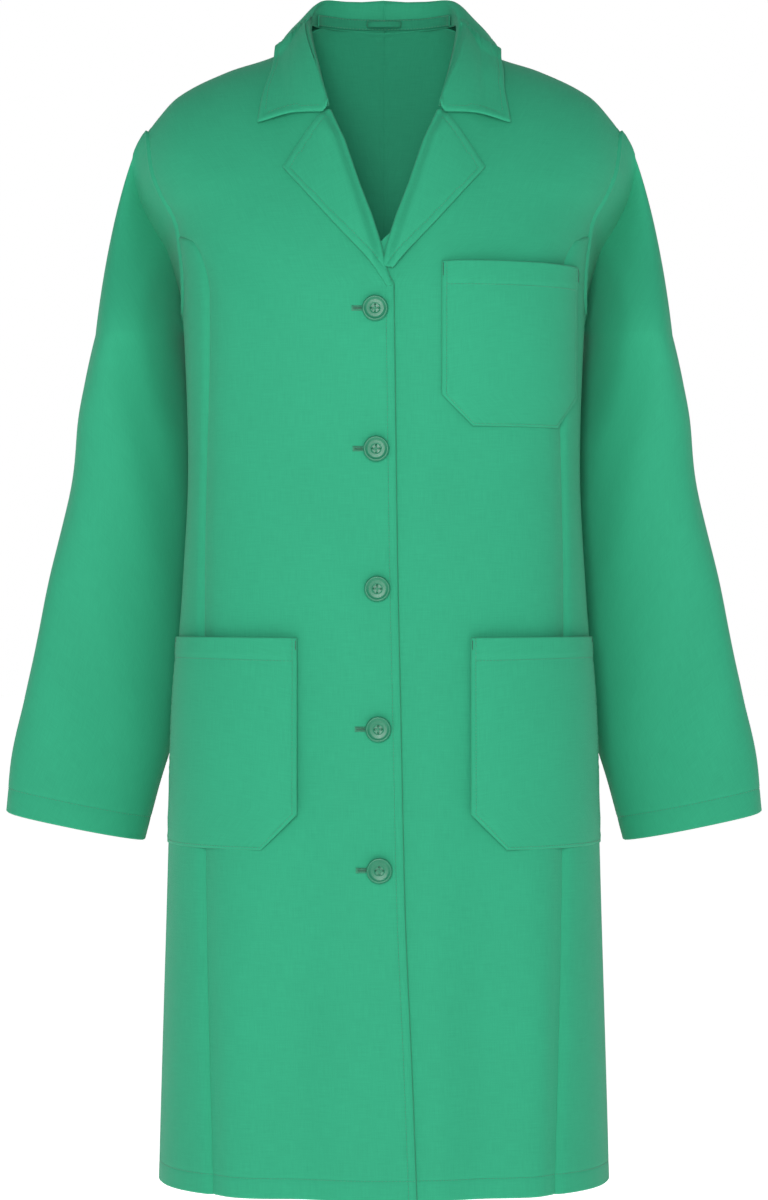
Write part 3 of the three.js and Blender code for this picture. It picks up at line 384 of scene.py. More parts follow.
def grid_normals(points, ring=False):
    """Normals of a grid, as (along a row) x (from row to row)."""
    if ring:
        along = np.roll(points, -1, axis=1) - np.roll(points, 1, axis=1)
    else:
        along = np.gradient(points, axis=1)
    return unit(np.cross(along, np.gradient(points, axis=0)))


def cloth_places(points):
    """Each grid point's place on the flat cloth, in metres, measured along rows and columns."""
    across = np.zeros(points.shape[:2])
    across[:, 1:] = np.cumsum(np.linalg.norm(np.diff(points, axis=1), axis=2), axis=1)
    along = np.zeros(points.shape[:2])
    along[1:] = np.cumsum(np.linalg.norm(np.diff(points, axis=0), axis=2), axis=0)
    return np.stack([across, along, 0 * across], axis=-1) / 1000


def finish_object(name, mesh, material):
    mesh.materials.append(material)
    mesh.shade_smooth()
    obj = bpy.data.objects.new(name, mesh)
    bpy.context.scene.collection.objects.link(obj)
    return obj


def shell(name, points, normals, outer, inner, material=CLOTH, ring=False, flip=False):
    """A closed sheet of cloth with a rounded rim. outer and inner are lifts along the normals."""
    rows, columns = points.shape[:2]
    outer = np.broadcast_to(outer, (rows, columns))[..., None]
    inner = np.broadcast_to(inner, (rows, columns))[..., None]
    top, bottom = points + normals * outer, points + normals * inner
    count = rows * columns
    index = np.arange(count).reshape(rows, columns)
    if ring:
        index = np.hstack([index, index[:, :1]])
    quads = np.stack([index[:-1, :-1], index[:-1, 1:], index[1:, 1:], index[1:, :-1]], -1).reshape(-1, 4)
    faces = [quads, quads[:, ::-1] + count]
    middle = (top + bottom) / 2
    bulge = 0.45 * (outer - inner)
    rims, places = [], [cloth_places(points).reshape(-1, 3)] * 2
    start = 2 * count
    sides = [(index[0, :], 0, 1), (index[-1, ::-1], -1, -2)]
    strips = []
    if ring:
        for line, edge, within in sides:
            loop = line[:-1]
            away = unit(middle[edge] - middle[within])
            spot = (middle[edge] + away * bulge[edge]).reshape(-1, 3)[loop % columns]
            strips.append((loop, spot, True))
    else:
        border = np.concatenate([index[0, :-1], index[:-1, -1], index[-1, :0:-1], index[:0:-1, 0]])
        flat = middle.reshape(-1, 3)
        towards = np.zeros((rows, columns, 3))
        towards[0] += unit(middle[0] - middle[1])
        towards[-1] += unit(middle[-1] - middle[-2])
        towards[:, 0] += unit(middle[:, 0] - middle[:, 1])
        towards[:, -1] += unit(middle[:, -1] - middle[:, -2])
        spot = flat[border] + unit(towards.reshape(-1, 3)[border]) * bulge.reshape(-1, 1)[border]
        strips.append((border, spot, False))
    for loop, spot, _ in strips:
        size = len(loop)
        rim = start + np.arange(size)
        following = np.roll(np.arange(size), -1)
        faces.append(np.stack([loop[following], loop, rim, rim[following]], -1))
        faces.append(np.stack([rim[following], rim, loop + count, loop[following] + count], -1))
        rims.append(spot)
        places.append(cloth_places(points).reshape(-1, 3)[loop])
        start += size
    vertices = to_frame(np.vstack([top.reshape(-1, 3), bottom.reshape(-1, 3), *rims]))
    faces = np.vstack(faces)
    if flip:
        faces = faces[:, ::-1]
    mesh = bpy.data.meshes.new(name)
    mesh.from_pydata(vertices.tolist(), [], faces.tolist())
    attribute = mesh.attributes.new("cloth_place", "FLOAT_VECTOR", "POINT")
    attribute.data.foreach_set("vector", np.vstack(places).astype(np.float32).ravel())
    return finish_object(name, mesh, material)



# A stitch is a short strand that dips into the cloth at both ends. Lengths are in millimetres.
STITCH_PITCH = 2.9
STITCH_LENGTH = 2.3
STITCH_RADIUS = 0.3
# Points of a stitch: shares of its length, its girth and its height.
STRAND = [(-0.5, 0.15, -0.5), (-0.3, 0.9, 0.25), (0.3, 0.9, 0.25), (0.5, 0.15, -0.5)]


def resample(line, normals, pitch):
    length = np.concatenate([[0], np.cumsum(np.linalg.norm(np.diff(line, axis=0), axis=1))])
    stops = np.arange(pitch / 2, length[-1] - pitch / 3, pitch)
    pick = lambda values: np.stack([np.interp(stops, length, values[:, k]) for k in range(3)], -1)
    ahead = np.stack([np.interp(stops + 0.4, length, line[:, k]) for k in range(3)], -1)
    behind = np.stack([np.interp(stops - 0.4, length, line[:, k]) for k in range(3)], -1)
    return pick(line), unit(ahead - behind), unit(pick(normals))


def stitches(name, lines, material=STITCH, pitch=STITCH_PITCH, length=STITCH_LENGTH, radius=STITCH_RADIUS):
    """Rows of stitches along lines, each a pair of arrays: points on the cloth and normals."""
    vertices, faces, base = [], [], 0
    sides = 5
    angles = np.arange(sides) * math.tau / sides
    for line, normals in lines:
        spots, along, up = resample(np.asarray(line, float), np.asarray(normals, float), pitch)
        across = unit(np.cross(up, along))
        for spot, a, u, c in zip(spots, along, up, across):
            for reach, girth, height in STRAND:
                centre = spot + a * reach * length + u * (height * radius * 2)
                circle = np.outer(np.cos(angles), c) + np.outer(np.sin(angles), u)
                vertices.append(centre + circle * radius * girth)
            for k in range(len(STRAND) - 1):
                for i in range(sides):
                    j = (i + 1) % sides
                    first, second = base + k * sides, base + (k + 1) * sides
                    faces.append((first + i, first + j, second + j, second + i))
            last = base + (len(STRAND) - 1) * sides
            faces.append(tuple(base + i for i in reversed(range(sides))))
            faces.append(tuple(last + i for i in range(sides)))
            base += len(STRAND) * sides
    mesh = bpy.data.meshes.new(name)
    mesh.from_pydata(to_frame(np.vstack(vertices)).tolist(), [], faces)
    return finish_object(name, mesh, material)


# ---------------------------------------------------------------- how the cloth lies


def seam_relief(d, run, stitch_at=None):
    """Lift near a sewn edge: d is the distance from it and run the distance along it."""
    lift = -0.55 * bump_at(d, 0, 1.3)
    pucker = 0.22 * np.sin(run * math.tau / 8.3) + 0.16 * np.sin(run * math.tau / 5.1 + 1.7)
    lift = lift + pucker * bump_at(d, 3.5, 4.5)
    if stitch_at is not None:
        lift = lift - 0.38 * bump_at(d, stitch_at, 0.8)
    return lift


FRONT_FOLD_SIZE = 2.2


def front_folds(x, z):
    """Soft folds in the fronts, from the centre line outwards, as a lift along the normal."""
    low = smooth(-z, -700, -60)
    fold = -3.9 * low * bump_at(x, -72, 30) + 1.2 * low * bump_at(x, -122, 24)
    fold = fold - 3.5 * low * bump_at(x, 84, 30) + 1.1 * low * bump_at(x, 130, 20)
    slant = x + 0.34 * (z - 560)
    fold = fold + 1.3 * bump_at(slant, -58, 20) * bump_at(z, 560, 130)
    fold = fold - 1.1 * bump_at(x - 0.26 * (z - 640), 66, 20) * bump_at(z, 620, 120)
    drag = x + 0.55 * (z - 800)
    fold = fold - 1.5 * bump_at(drag, -120, 22) * bump_at(z, 800, 60)
    fold = fold + 1.2 * bump_at(x - 0.6 * (z - 800), 128, 20) * bump_at(z, 810, 60)
    ripple = 0.35 * np.sin(x * 0.045 + z * 0.011) * np.sin(z * 0.021 + 0.6 * np.sin(x * 0.03))
    return FRONT_FOLD_SIZE * fold + ripple


def back_folds(x, z):
    low = smooth(-z, -700, -40)
    fold = 0.0 * x
    for centre, size in ((-128, 3.0), (-70, -3.6), (-20, 2.4), (38, -3.4), (88, 3.2), (140, -2.4)):
        fold = fold + size * low * bump_at(x + 0.02 * (z - 300), centre, 24)
    fold = fold - 1.8 * bump_at(z + 0.5 * np.abs(x), 830, 26) * smooth(np.abs(x), 20, 90)
    return fold + 0.4 * np.sin(x * 0.04 + z * 0.013) * np.sin(z * 0.018)


# ---------------------------------------------------------------- front panels

SEAM_GAP = 0.4
BREAK_Z = 768.0
OVERLAP = 38.0
SLOPE = 24.0
FACING_WIDTH = 56.0
ONE_LAYER = 1.2
TWO_LAYERS = 2.8
UNDER_LIFT = -3.2
ARMHOLE_SHARE = 0.9794
UNDERARM_Z = 752.0
UNDERARM_TURN = 48.0
PRINCESS_TOP = CHEST_Z + 0.31 * (RIDGE - CHEST_Z)
HEM_STITCH = 16.0
EDGE_STITCH = 6.0

princess_x = through(
    [(0, 146.6), (240, 153.4), (520, 156.6), (620, 155), (710, 152.2), (766, 151.8), (793, 156.3)]
    + [(813, 164.8), (PRINCESS_TOP, 177.1)]
)
edge_x = through([(0, 26.8), (110, 22.6), (245, 16.8), (400, 13.5), (540, 10.6), (768, 7.6)])

ROLL = [(6, BREAK_Z), (-4.2, 803), (-22.9, 857), (-36, 896), (-57, 931), (-73, 968), (-80, 993)]
roll_levels = [float(level_of(x, z)) for x, z in ROLL]
roll_levels[-1] = RIDGE
roll_turn = through([(lvl, float(turn_at(x, level_of(x, z)))) for lvl, (x, z) in zip(roll_levels, ROLL)])


def armhole_turn(lvl):
    full = math.asin(ARMHOLE_SHARE)
    under = np.clip((lvl - UNDERARM_Z) / UNDERARM_TURN, 0, 1)
    turned = np.sqrt(np.clip(1 - (1 - under) ** 2, 0, 1))
    return math.pi / 2 - np.maximum(1e-5, (math.pi / 2 - full) * turned)


def front_side_turn(lvl):
    princess = turn_at(princess_x(lvl), lvl) - SEAM_GAP / 2 / half_width(lvl)
    return np.where(lvl <= PRINCESS_TOP, princess, armhole_turn(lvl))


def over_edge_turn(lvl):
    """In the over front's own mirrored coordinates: negative beyond the centre line."""
    return np.where(lvl <= BREAK_Z, turn_at(-edge_x(lvl), lvl), -roll_turn(lvl))


def under_edge_turn(lvl):
    below = turn_at(edge_x(np.minimum(lvl, BREAK_Z)) - OVERLAP, lvl)
    share = np.clip((lvl - BREAK_Z) / 34, 0, 1)
    return below * (1 - share) - roll_turn(np.maximum(lvl, BREAK_Z)) * share


def rows_with(*groups):
    return np.unique(np.round(np.concatenate([np.asarray(g, float) for g in groups]), 3))


HEM_ROWS = [0, 0.6, 1.4, 3, 5, 8, 11, 13.5, 15, 16, 17, 18.5, 21, 25]
BODY_ROWS = rows_with(HEM_ROWS, np.arange(30, CHEST_Z, 4.5), [BREAK_Z])
TOP_SHARES = 1 - (1 - np.linspace(0, 1, 56)) ** 1.7
FRONT_ROWS = rows_with(BODY_ROWS, BREAK_Z + (RIDGE - BREAK_Z) * TOP_SHARES[1:])
EDGE_STEPS = [0, 0.6, 1.4, 2.6, 4, 5.2, 6, 6.8, 8, 11, 15, 20, 25, 30]
SIDE_STEPS = [0, 0.5, 1.2, 2.2, 3.6, 5.5, 8, 11, 15]


def columns_between(first, second, near, far, middle):
    """x positions from first to second, closer together by the given steps at both ends."""
    width = second - first
    squeeze = np.minimum(1, 0.4 * width / near[-1])[:, None]
    from_first = first[:, None] + np.array(near) * squeeze
    from_second = second[:, None] - np.array(far[::-1]) * np.minimum(1, 0.3 * width / far[-1])[:, None]
    share = np.linspace(0, 1, middle + 2)[1:-1]
    between = from_first[:, -1:] + (from_second[:, :1] - from_first[:, -1:]) * share
    return np.hstack([from_first, between, from_second])


def sunk(x, lvl):
    start = edge_x(np.minimum(lvl, BREAK_Z)) + 3
    t = np.clip((start + SLOPE - x) / SLOPE, 0, 1)
    fade = np.clip((BREAK_Z + 75 - lvl) / 60, 0, 1)
    return t * t * (3 - 2 * t) * fade


PRINCESS_SINK = 2.6


def front_panel(sign):
    """One front, from its edge and roll line to the princess seam, armhole and shoulder seam."""
    lvl = FRONT_ROWS
    first = half_width(lvl) * np.sin(over_edge_turn(lvl) if sign < 0 else under_edge_turn(lvl))
    second = half_width(lvl) * np.sin(front_side_turn(lvl))
    across = columns_between(first, second, EDGE_STEPS, SIDE_STEPS, 34)
    lvl = np.broadcast_to(lvl[:, None], across.shape)
    turn = turn_at(across, lvl)
    points, normals = body_point(turn, lvl), body_normal(turn, lvl)
    from_edge = across - first[:, None]
    from_side = second[:, None] - across
    z = points[..., 2]
    lift = front_folds(sign * across, z) * smooth(RIDGE - lvl, 4, 60) * smooth(from_side, 0, 20)
    if sign > 0:
        lift = lift * (1 - sunk(across, lvl))
    lift = lift * smooth(lvl - BREAK_Z, 90, 0)
    lift = lift + seam_relief(from_edge, z, EDGE_STITCH) * smooth(BREAK_Z + 14 - lvl, 0, 14)
    lift = lift + seam_relief(from_side, z) - 0.4 * bump_at(z, HEM_STITCH, 1.0)
    lift = lift - PRINCESS_SINK * bump_at(from_side, 0, 8) * smooth(PRINCESS_TOP - lvl, 0, 50)
    if sign > 0:
        lift = lift + UNDER_LIFT * sunk(across, lvl)
    lined = smooth(FACING_WIDTH + 1 - from_edge, 0, 2) * smooth(BREAK_Z + 30 - lvl, 0, 30)
    lined = np.maximum(lined, smooth(HEM_STITCH + 4 - z, 0, 2))
    thickness = ONE_LAYER + (TWO_LAYERS - ONE_LAYER) * lined
    side = np.array([sign, 1.0, 1.0])
    name = "left_front_cloth" if sign > 0 else "right_front_cloth"
    panel = shell(name, points * side, normals * side, lift, lift - thickness, flip=sign < 0)
    surface = (points + normals * lift[..., None]) * side
    return panel, surface, normals * side


def with_flap(piece):
    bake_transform(piece)


STITCH_COLUMN = EDGE_STEPS.index(6)
HEM_ROW = int(np.where(BODY_ROWS == HEM_STITCH)[0][0])
BREAK_ROW = int(np.where(FRONT_ROWS == BREAK_Z)[0][0])

for sign, side in ((-1, "right"), (1, "left")):
    panel, surface, normals = front_panel(sign)
    hidden = [f"{side}_{layer}" for layer in ("front", "front_skirt", "front_facing", "skirt_facing")]
    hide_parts(*hidden)
    with_flap(panel)
    edge_line = (surface[:BREAK_ROW, STITCH_COLUMN], normals[:BREAK_ROW, STITCH_COLUMN])
    hem_line = (surface[HEM_ROW], normals[HEM_ROW])
    rows = [edge_line, hem_line] if sign < 0 else [hem_line]
    with_flap(stitches(f"{side}_front_stitches", rows))


# ---------------------------------------------------------------- side fronts and backs

SIDE_ROWS = rows_with(BODY_ROWS, np.linspace(CHEST_Z, PRINCESS_TOP, 16))


def side_front(sign):
    lvl = SIDE_ROWS
    first_turn = turn_at(princess_x(lvl), lvl) + SEAM_GAP / 2 / half_width(lvl)
    second_turn = np.maximum(armhole_turn(lvl), first_turn + 0.008)
    near = 1 - np.cos(np.linspace(0, math.pi / 2, 7))
    share = np.concatenate([0.3 * near, np.linspace(0.36, 1, 12)])
    turn = first_turn[:, None] + (second_turn - first_turn)[:, None] * share
    lvl = np.broadcast_to(lvl[:, None], turn.shape)
    points, normals = body_point(turn, lvl), body_normal(turn, lvl)
    run = np.linalg.norm(points - points[:, :1], axis=2)
    width = run[:, -1:]
    low = smooth(-points[..., 2], -640, -60)
    lift = 2.6 * np.sin(math.pi * run / width) * (0.35 + 0.65 * low)
    lift = lift + seam_relief(run, points[..., 2]) + seam_relief(width - run, points[..., 2])
    lift = lift - PRINCESS_SINK * bump_at(run, 0, 3.5) * smooth(PRINCESS_TOP - lvl, 0, 50)
    lift = lift - 0.4 * bump_at(points[..., 2], HEM_STITCH, 1.0)
    thickness = ONE_LAYER + 1.2 * smooth(HEM_STITCH + 4 - points[..., 2], 0, 2)
    side = np.array([sign, 1.0, 1.0])
    name = "left_side_cloth" if sign > 0 else "right_side_cloth"
    panel = shell(name, points * side, normals * side, lift, lift - thickness, flip=sign < 0)
    surface = (points + normals * lift[..., None]) * side
    return panel, (surface[HEM_ROW], normals[HEM_ROW] * side)


BACK_NECK_Z = 1009.0
NECK_SIDE_HALF_WIDTH = 72.0
NAPE_LEVEL = float(level_of(0.0, BACK_NECK_Z))
BACK_ROWS = rows_with(BODY_ROWS, CHEST_Z + (RIDGE - CHEST_Z) * TOP_SHARES)


def back_panel(sign):
    straight = BACK_ROWS[:, None]
    side_turn = math.pi - armhole_turn(straight)
    start = SEAM_GAP / 2 / half_width(straight)
    ends = 0.5 - 0.5 * np.cos(np.linspace(0, math.pi, 61))
    share = 0.45 * ends + 0.55 * np.linspace(0, 1, 61)
    turn = side_turn + (math.pi - start - side_turn) * share
    x = half_width(straight) * np.sin(turn)
    neck = np.clip(1 - (x / NECK_SIDE_HALF_WIDTH) ** 2, 0, None)
    lvl = straight - (RIDGE - NAPE_LEVEL) * neck * smooth(straight, RIDGE - 110, RIDGE)
    points, normals = body_point(turn, lvl), body_normal(turn, lvl)
    z = points[..., 2]
    from_side = np.linalg.norm(points - points[:, :1], axis=2)
    lift = back_folds(sign * x, z) * smooth(from_side, 0, 24) * smooth(RIDGE - lvl, 4, 70)
    lift = lift * smooth(np.abs(x), 0, 14)
    lift = lift + seam_relief(np.abs(x), z) + seam_relief(from_side, z) - 0.4 * bump_at(z, HEM_STITCH, 1.0)
    thickness = ONE_LAYER + 1.2 * smooth(HEM_STITCH + 4 - z, 0, 2)
    side = np.array([sign, 1.0, 1.0])
    name = "left_back_cloth" if sign > 0 else "right_back_cloth"
    panel = shell(name, points * side, normals * side, lift, lift - thickness, flip=sign < 0)
    surface = (points + normals * lift[..., None]) * side
    return panel, (surface[HEM_ROW], normals[HEM_ROW] * side)


hem_lines = []
for sign, side in ((-1, "right"), (1, "left")):
    panel, line = side_front(sign)
    hem_lines.append(line)
    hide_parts(f"{side}_side_front")
    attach(panel, "coat_body")
    panel, line = back_panel(sign)
    hem_lines.append(line)
    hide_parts(f"{side}_back")
    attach(panel, "coat_body")
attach(stitches("body_hem_stitches", hem_lines), "coat_body")

# ---------------------------------------------------------------- lapels

lapel_roll = [
    (5.2, 769), (-0.8, 786), (-4.2, 803), (-12.7, 829.6), (-22.9, 857.4), (-35.8, 896.3), (-47.5, 922),
]
lapel_edge = [
    (3, 768.5), (-7, 784), (-16.1, 794.9), (-44, 824.6), (-84.9, 870.8), (-64.5, 902.5), (-49.5, 922),
]
ROLL_RADIUS = 2.6
LAPEL_LIFT = 4.4


def along_line(points, shares):
    spots = np.array(points, float)
    stops = np.linspace(0, 1, len(spots))
    return np.stack([np.interp(shares, stops, spots[:, k]) for k in range(2)], -1)


def lapel(sign):
    """The turned-back front edge: it comes from inside, rolls over the edge and lies on the front."""
    first = 1 if sign > 0 else 0  # the left lapel starts higher, under the right one
    shares = rows_with(np.linspace(0, 1, 71), np.linspace(0, 1, len(lapel_roll) - first)[1:-1])
    roll, edge = along_line(lapel_roll[first:], shares), along_line(lapel_edge[first:], shares)
    stops = np.concatenate([np.linspace(0, 0.9, 22), [0.925, 0.95, 0.965, 0.98, 0.99, 1]])
    flat = roll[:, None] + (edge - roll)[:, None] * stops[:, None]
    width = np.linalg.norm(edge - roll, axis=1)[:, None]
    points, normals = on_front(flat[..., 0], flat[..., 1], np.zeros(flat.shape[:2]))
    run = stops * width
    from_edge = width - run
    rise = smooth(run, 0, 9) * smooth(width, 0, 12)
    spring = 2.2 * bump_at(run, 9, 9) * smooth(width, 5, 30)
    lift = 1.0 + (LAPEL_LIFT - 1.0) * rise + spring - 0.5 * bump_at(from_edge, EDGE_STITCH, 0.9)
    lift = lift - 0.5 * bump_at(from_edge, 0, 1.4)
    rolled = []
    for angle in (165, 135, 105, 75, 45, 20):
        a = math.radians(angle)
        inward = unit(points[:, 0] - points[:, 1])
        centre = points[:, 0] + normals[:, 0] * (lift[:, :1] - ROLL_RADIUS)
        rolled.append(centre + ROLL_RADIUS * (normals[:, 0] * math.cos(a) + inward * math.sin(a)))
    surface = points + normals * lift[..., None]
    surface = np.concatenate([np.stack(rolled, axis=1), surface], axis=1)
    around = grid_normals(surface)
    if (around[:, -3] * normals[:, -3]).sum() < 0:
        around = -around
    side = np.array([-sign, 1.0, 1.0])
    name = "left_lapel_cloth" if sign > 0 else "right_lapel_cloth"
    piece = shell(name, surface * side, around * side, 0.0, -2.0, flip=sign > 0)
    inset = np.argmin(np.abs(from_edge - EDGE_STITCH), axis=1) + len(rolled)
    pick = np.arange(len(shares))
    keep = (width[:, 0] > 9) & (shares < 0.97)
    line = (surface[pick, inset] * side)[keep], (around[pick, inset] * side)[keep]
    return piece, line


def revers_blend(piece):
    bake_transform(piece)


for sign, side in ((-1, "right"), (1, "left")):
    piece, line = lapel(sign)
    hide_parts(f"{side}_lapel", f"{side}_lapel_under")
    revers_blend(piece)
    revers_blend(stitches(f"{side}_lapel_stitches", [line]))

# ---------------------------------------------------------------- collar


def catmull(points, shares):
    """A centripetal Catmull-Rom curve. points is (knots, ..., 3); shares are from 0 to 1."""
    points = np.asarray(points, float)
    padded = np.concatenate([2 * points[:1] - points[1:2], points, 2 * points[-1:] - points[-2:-1]])
    s = np.clip(shares, 0, 1) * (len(points) - 1)
    i = np.minimum(s.astype(int), len(points) - 2)
    w = (s - i).reshape([-1] + [1] * (points.ndim - 1))
    p0, p1, p2, p3 = padded[i], padded[i + 1], padded[i + 2], padded[i + 3]
    gap = lambda a, b: np.maximum(np.linalg.norm(b - a, axis=-1, keepdims=True) ** 0.5, 1e-4)
    d0, d1, d2 = gap(p0, p1), gap(p1, p2), gap(p2, p3)
    t1 = ((p1 - p0) / d0 - (p2 - p0) / (d0 + d1) + (p2 - p1) / d1) * d1
    t2 = ((p2 - p1) / d1 - (p3 - p1) / (d1 + d2) + (p3 - p2) / d2) * d1
    return p1 + t1 * w + (3 * (p2 - p1) - 2 * t1 - t2) * w**2 + (2 * (p1 - p2) + t1 + t2) * w**3


COLLAR_TOP_Z = 1035.0
COLLAR_FALL = 52.0
COLLAR_LIFT = 5.0
NOTCH_DROP = 7.0
COLLAR_SLIDE = 3.2  # the collar leaf sits a little further to the wearer's left
NAPE_Y = float(body_point(math.pi, NAPE_LEVEL)[1])
neck_seam = np.array(
    [
        (0, NAPE_Y + 1.5, BACK_NECK_Z + 0.5),
        (-34, NAPE_Y - 5, BACK_NECK_Z + 0.5),
        (-58, NAPE_Y - 21, BACK_NECK_Z + 1.5),
        (-64, -4, 1007),
        (-59, -36, 974),
        (-47.5, -88, 926),
    ]
)
roll_line = np.array(
    [
        (0, NAPE_Y + 4, COLLAR_TOP_Z),
        (-34, NAPE_Y - 1, COLLAR_TOP_Z),
        (-57, NAPE_Y - 21, COLLAR_TOP_Z - 3),
        (-66, -6, COLLAR_TOP_Z - 22),
        (-62, -42, 981),
        (-48.5, -95, 929),
    ]
)
leaf_edge = np.array(
    [
        (0, NAPE_Y + 24, COLLAR_TOP_Z - COLLAR_FALL),
        (-46, NAPE_Y + 18, COLLAR_TOP_Z - COLLAR_FALL),
        (-85, 27, COLLAR_TOP_Z - COLLAR_FALL + 1),
        (-94.5, -7, 990.5),
        tuple(on_front(-100.0, 953.0, COLLAR_LIFT)[0]),
        tuple(on_front(-107.0, 911.5, COLLAR_LIFT)[0]),
    ]
)


def clear_of_body(points, distance):
    """Moves points of the leaf off the body until they are the given distance away from it."""
    ridge = shoulder_z(np.abs(points[..., 0]))
    over = points[..., 2] > ridge - 3
    lvl = level_of(points[..., 0], np.minimum(points[..., 2], ridge))
    turn = turn_at(points[..., 0], lvl)
    place = np.where(points[..., 1] < 0, turn, np.where(turn < 0, -math.pi, math.pi) - turn)
    normal = body_normal(place, lvl)
    height = ((points - body_point(place, lvl)) * normal).sum(-1)
    push = np.where(over, 0, np.maximum(0, distance - height))[..., None]
    moved = points + normal * push
    raised = moved.copy()
    raised[..., 2] = np.where(over, np.maximum(points[..., 2], ridge + distance), moved[..., 2])
    return raised


def collar_half(sign):
    """Half the collar, from the centre back to its front end: the stand, the fold and the leaf."""
    shares = np.concatenate([np.linspace(0, 0.94, 60), [0.955, 0.968, 0.978, 0.986, 0.993, 1]])
    seam, roll, edge = (catmull(line, shares) for line in (neck_seam, roll_line, leaf_edge))
    outward = unit((edge - seam) * np.array([1, 1, 0]))
    turn_over = roll + outward * 5 + np.array([0, 0, -2.0])
    belly = roll + (edge - roll) * 0.45 + outward * 3.5 + np.array([0, 0, 2.0])
    stand = seam + (roll - seam) * 0.55
    knots = np.stack([seam, stand, roll, turn_over, belly, edge])
    stretches = [(0, 0.3, 9), (0.33, 0.62, 20), (0.65, 0.93, 14)]
    across = [np.linspace(*stretch) for stretch in stretches]
    across = np.concatenate([*across, [0.945, 0.96, 0.97, 0.98, 0.99, 1]])
    surface = catmull(knots, across)
    near_end = smooth(shares, 0.84, 1)[None, :]
    leaf = np.clip((across - 0.4) / 0.6, 0, 1)[:, None]
    tent = np.where(leaf < 0.28, leaf / 0.28, (1 - leaf) / 0.72)
    surface[..., 2] -= NOTCH_DROP * tent * near_end
    slid = smooth(across, 0.3, 0.5)[:, None] * smooth(surface[..., 2], 940, 965)
    surface[..., 0] -= sign * COLLAR_SLIDE * slid
    lifted = clear_of_body(surface, COLLAR_LIFT)
    surface = np.where((across > 0.4)[:, None, None], lifted, surface)
    around = grid_normals(surface)
    if around[30, 10] @ outward[10] < 0:
        around = -around
    reach = np.linalg.norm(np.diff(surface, axis=0), axis=2)
    from_edge = np.vstack([np.cumsum(reach[::-1], axis=0)[::-1], np.zeros(reach.shape[1])])
    reach = np.linalg.norm(np.diff(surface, axis=1), axis=2)
    from_end = np.hstack([np.cumsum(reach[:, ::-1], axis=1)[:, ::-1], np.zeros((len(reach), 1))])
    nearest = np.minimum(from_edge, np.where(leaf > 0.1, from_end, 99))
    lift = -0.5 * bump_at(nearest, EDGE_STITCH, 0.9) - 0.5 * bump_at(nearest, 0, 1.4)
    side = np.array([-sign, 1.0, 1.0])
    name = "left_collar_cloth" if sign > 0 else "right_collar_cloth"
    piece = shell(name, surface * side, around * side, lift + 1.0, lift - 1.0, flip=sign < 0)
    row = np.argmin(np.abs(from_edge - EDGE_STITCH), axis=0)
    pick = np.arange(len(shares))
    top = (surface + around * (lift[..., None] + 1.0)) * side
    keep = from_end[row, pick] > EDGE_STITCH
    edge_line = top[row, pick][keep], (around * side)[row, pick][keep]
    column = np.argmin(np.abs(from_end - EDGE_STITCH), axis=1)
    pick = np.arange(len(across))
    keep = (from_edge[pick, column] > EDGE_STITCH) & (leaf[:, 0] > 0.3)
    end_line = top[pick, column][keep], (around * side)[pick, column][keep]
    return piece, [edge_line, end_line]


def with_collar_end(piece):
    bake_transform(piece)


for sign, side in ((-1, "right"), (1, "left")):
    piece, lines = collar_half(sign)
    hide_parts("upper_collar", "under_collar")
    with_collar_end(piece)
    with_collar_end(stitches(f"{side}_collar_stitches", lines))

# ---------------------------------------------------------------- neck tape and hanger loop

TAPE_REACH = 0.78
TAPE_LIFT = 2.85


def neck_tape():
    shares = np.abs(np.linspace(-1, 1, 61)) * TAPE_REACH
    mirror = np.where(np.linspace(-1, 1, 61) > 0, -1.0, 1.0)
    seam, roll = catmull(neck_seam[:4], shares), catmull(roll_line[:4], shares)
    rows = []
    for up in np.concatenate([[0.5, 1.0], np.linspace(2, 8.5, 8), [9.1, 9.5]]):
        spot = seam + unit(roll - seam) * up
        spot[:, 0] *= mirror
        rows.append(spot)
    grid = np.array(rows)
    normals = grid_normals(grid)
    if normals[3, 30, 1] > 0:
        normals = -normals
    rise = 0.25 * np.sin(np.linspace(0, math.pi, len(rows)))[:, None]
    outer = TAPE_LIFT + ONE_LAYER + rise
    # The tape is drawn in the darker copy of the cloth, painted shade.
    tape = shell("neck_tape_cloth", grid, normals, outer, TAPE_LIFT, SHADED_TAPE)
    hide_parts("neck_tape")
    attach(tape, "coat_body")
    lines = [(grid[k] + normals[k] * (TAPE_LIFT + ONE_LAYER), normals[k]) for k in (1, len(rows) - 2)]
    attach(stitches("neck_tape_stitches", lines), "coat_body")


LOOP_WIDTH = 30.0
LOOP_BOW = 6.3
LOOP_STRIP = 5.0
LOOP_Z = BACK_NECK_Z + 6


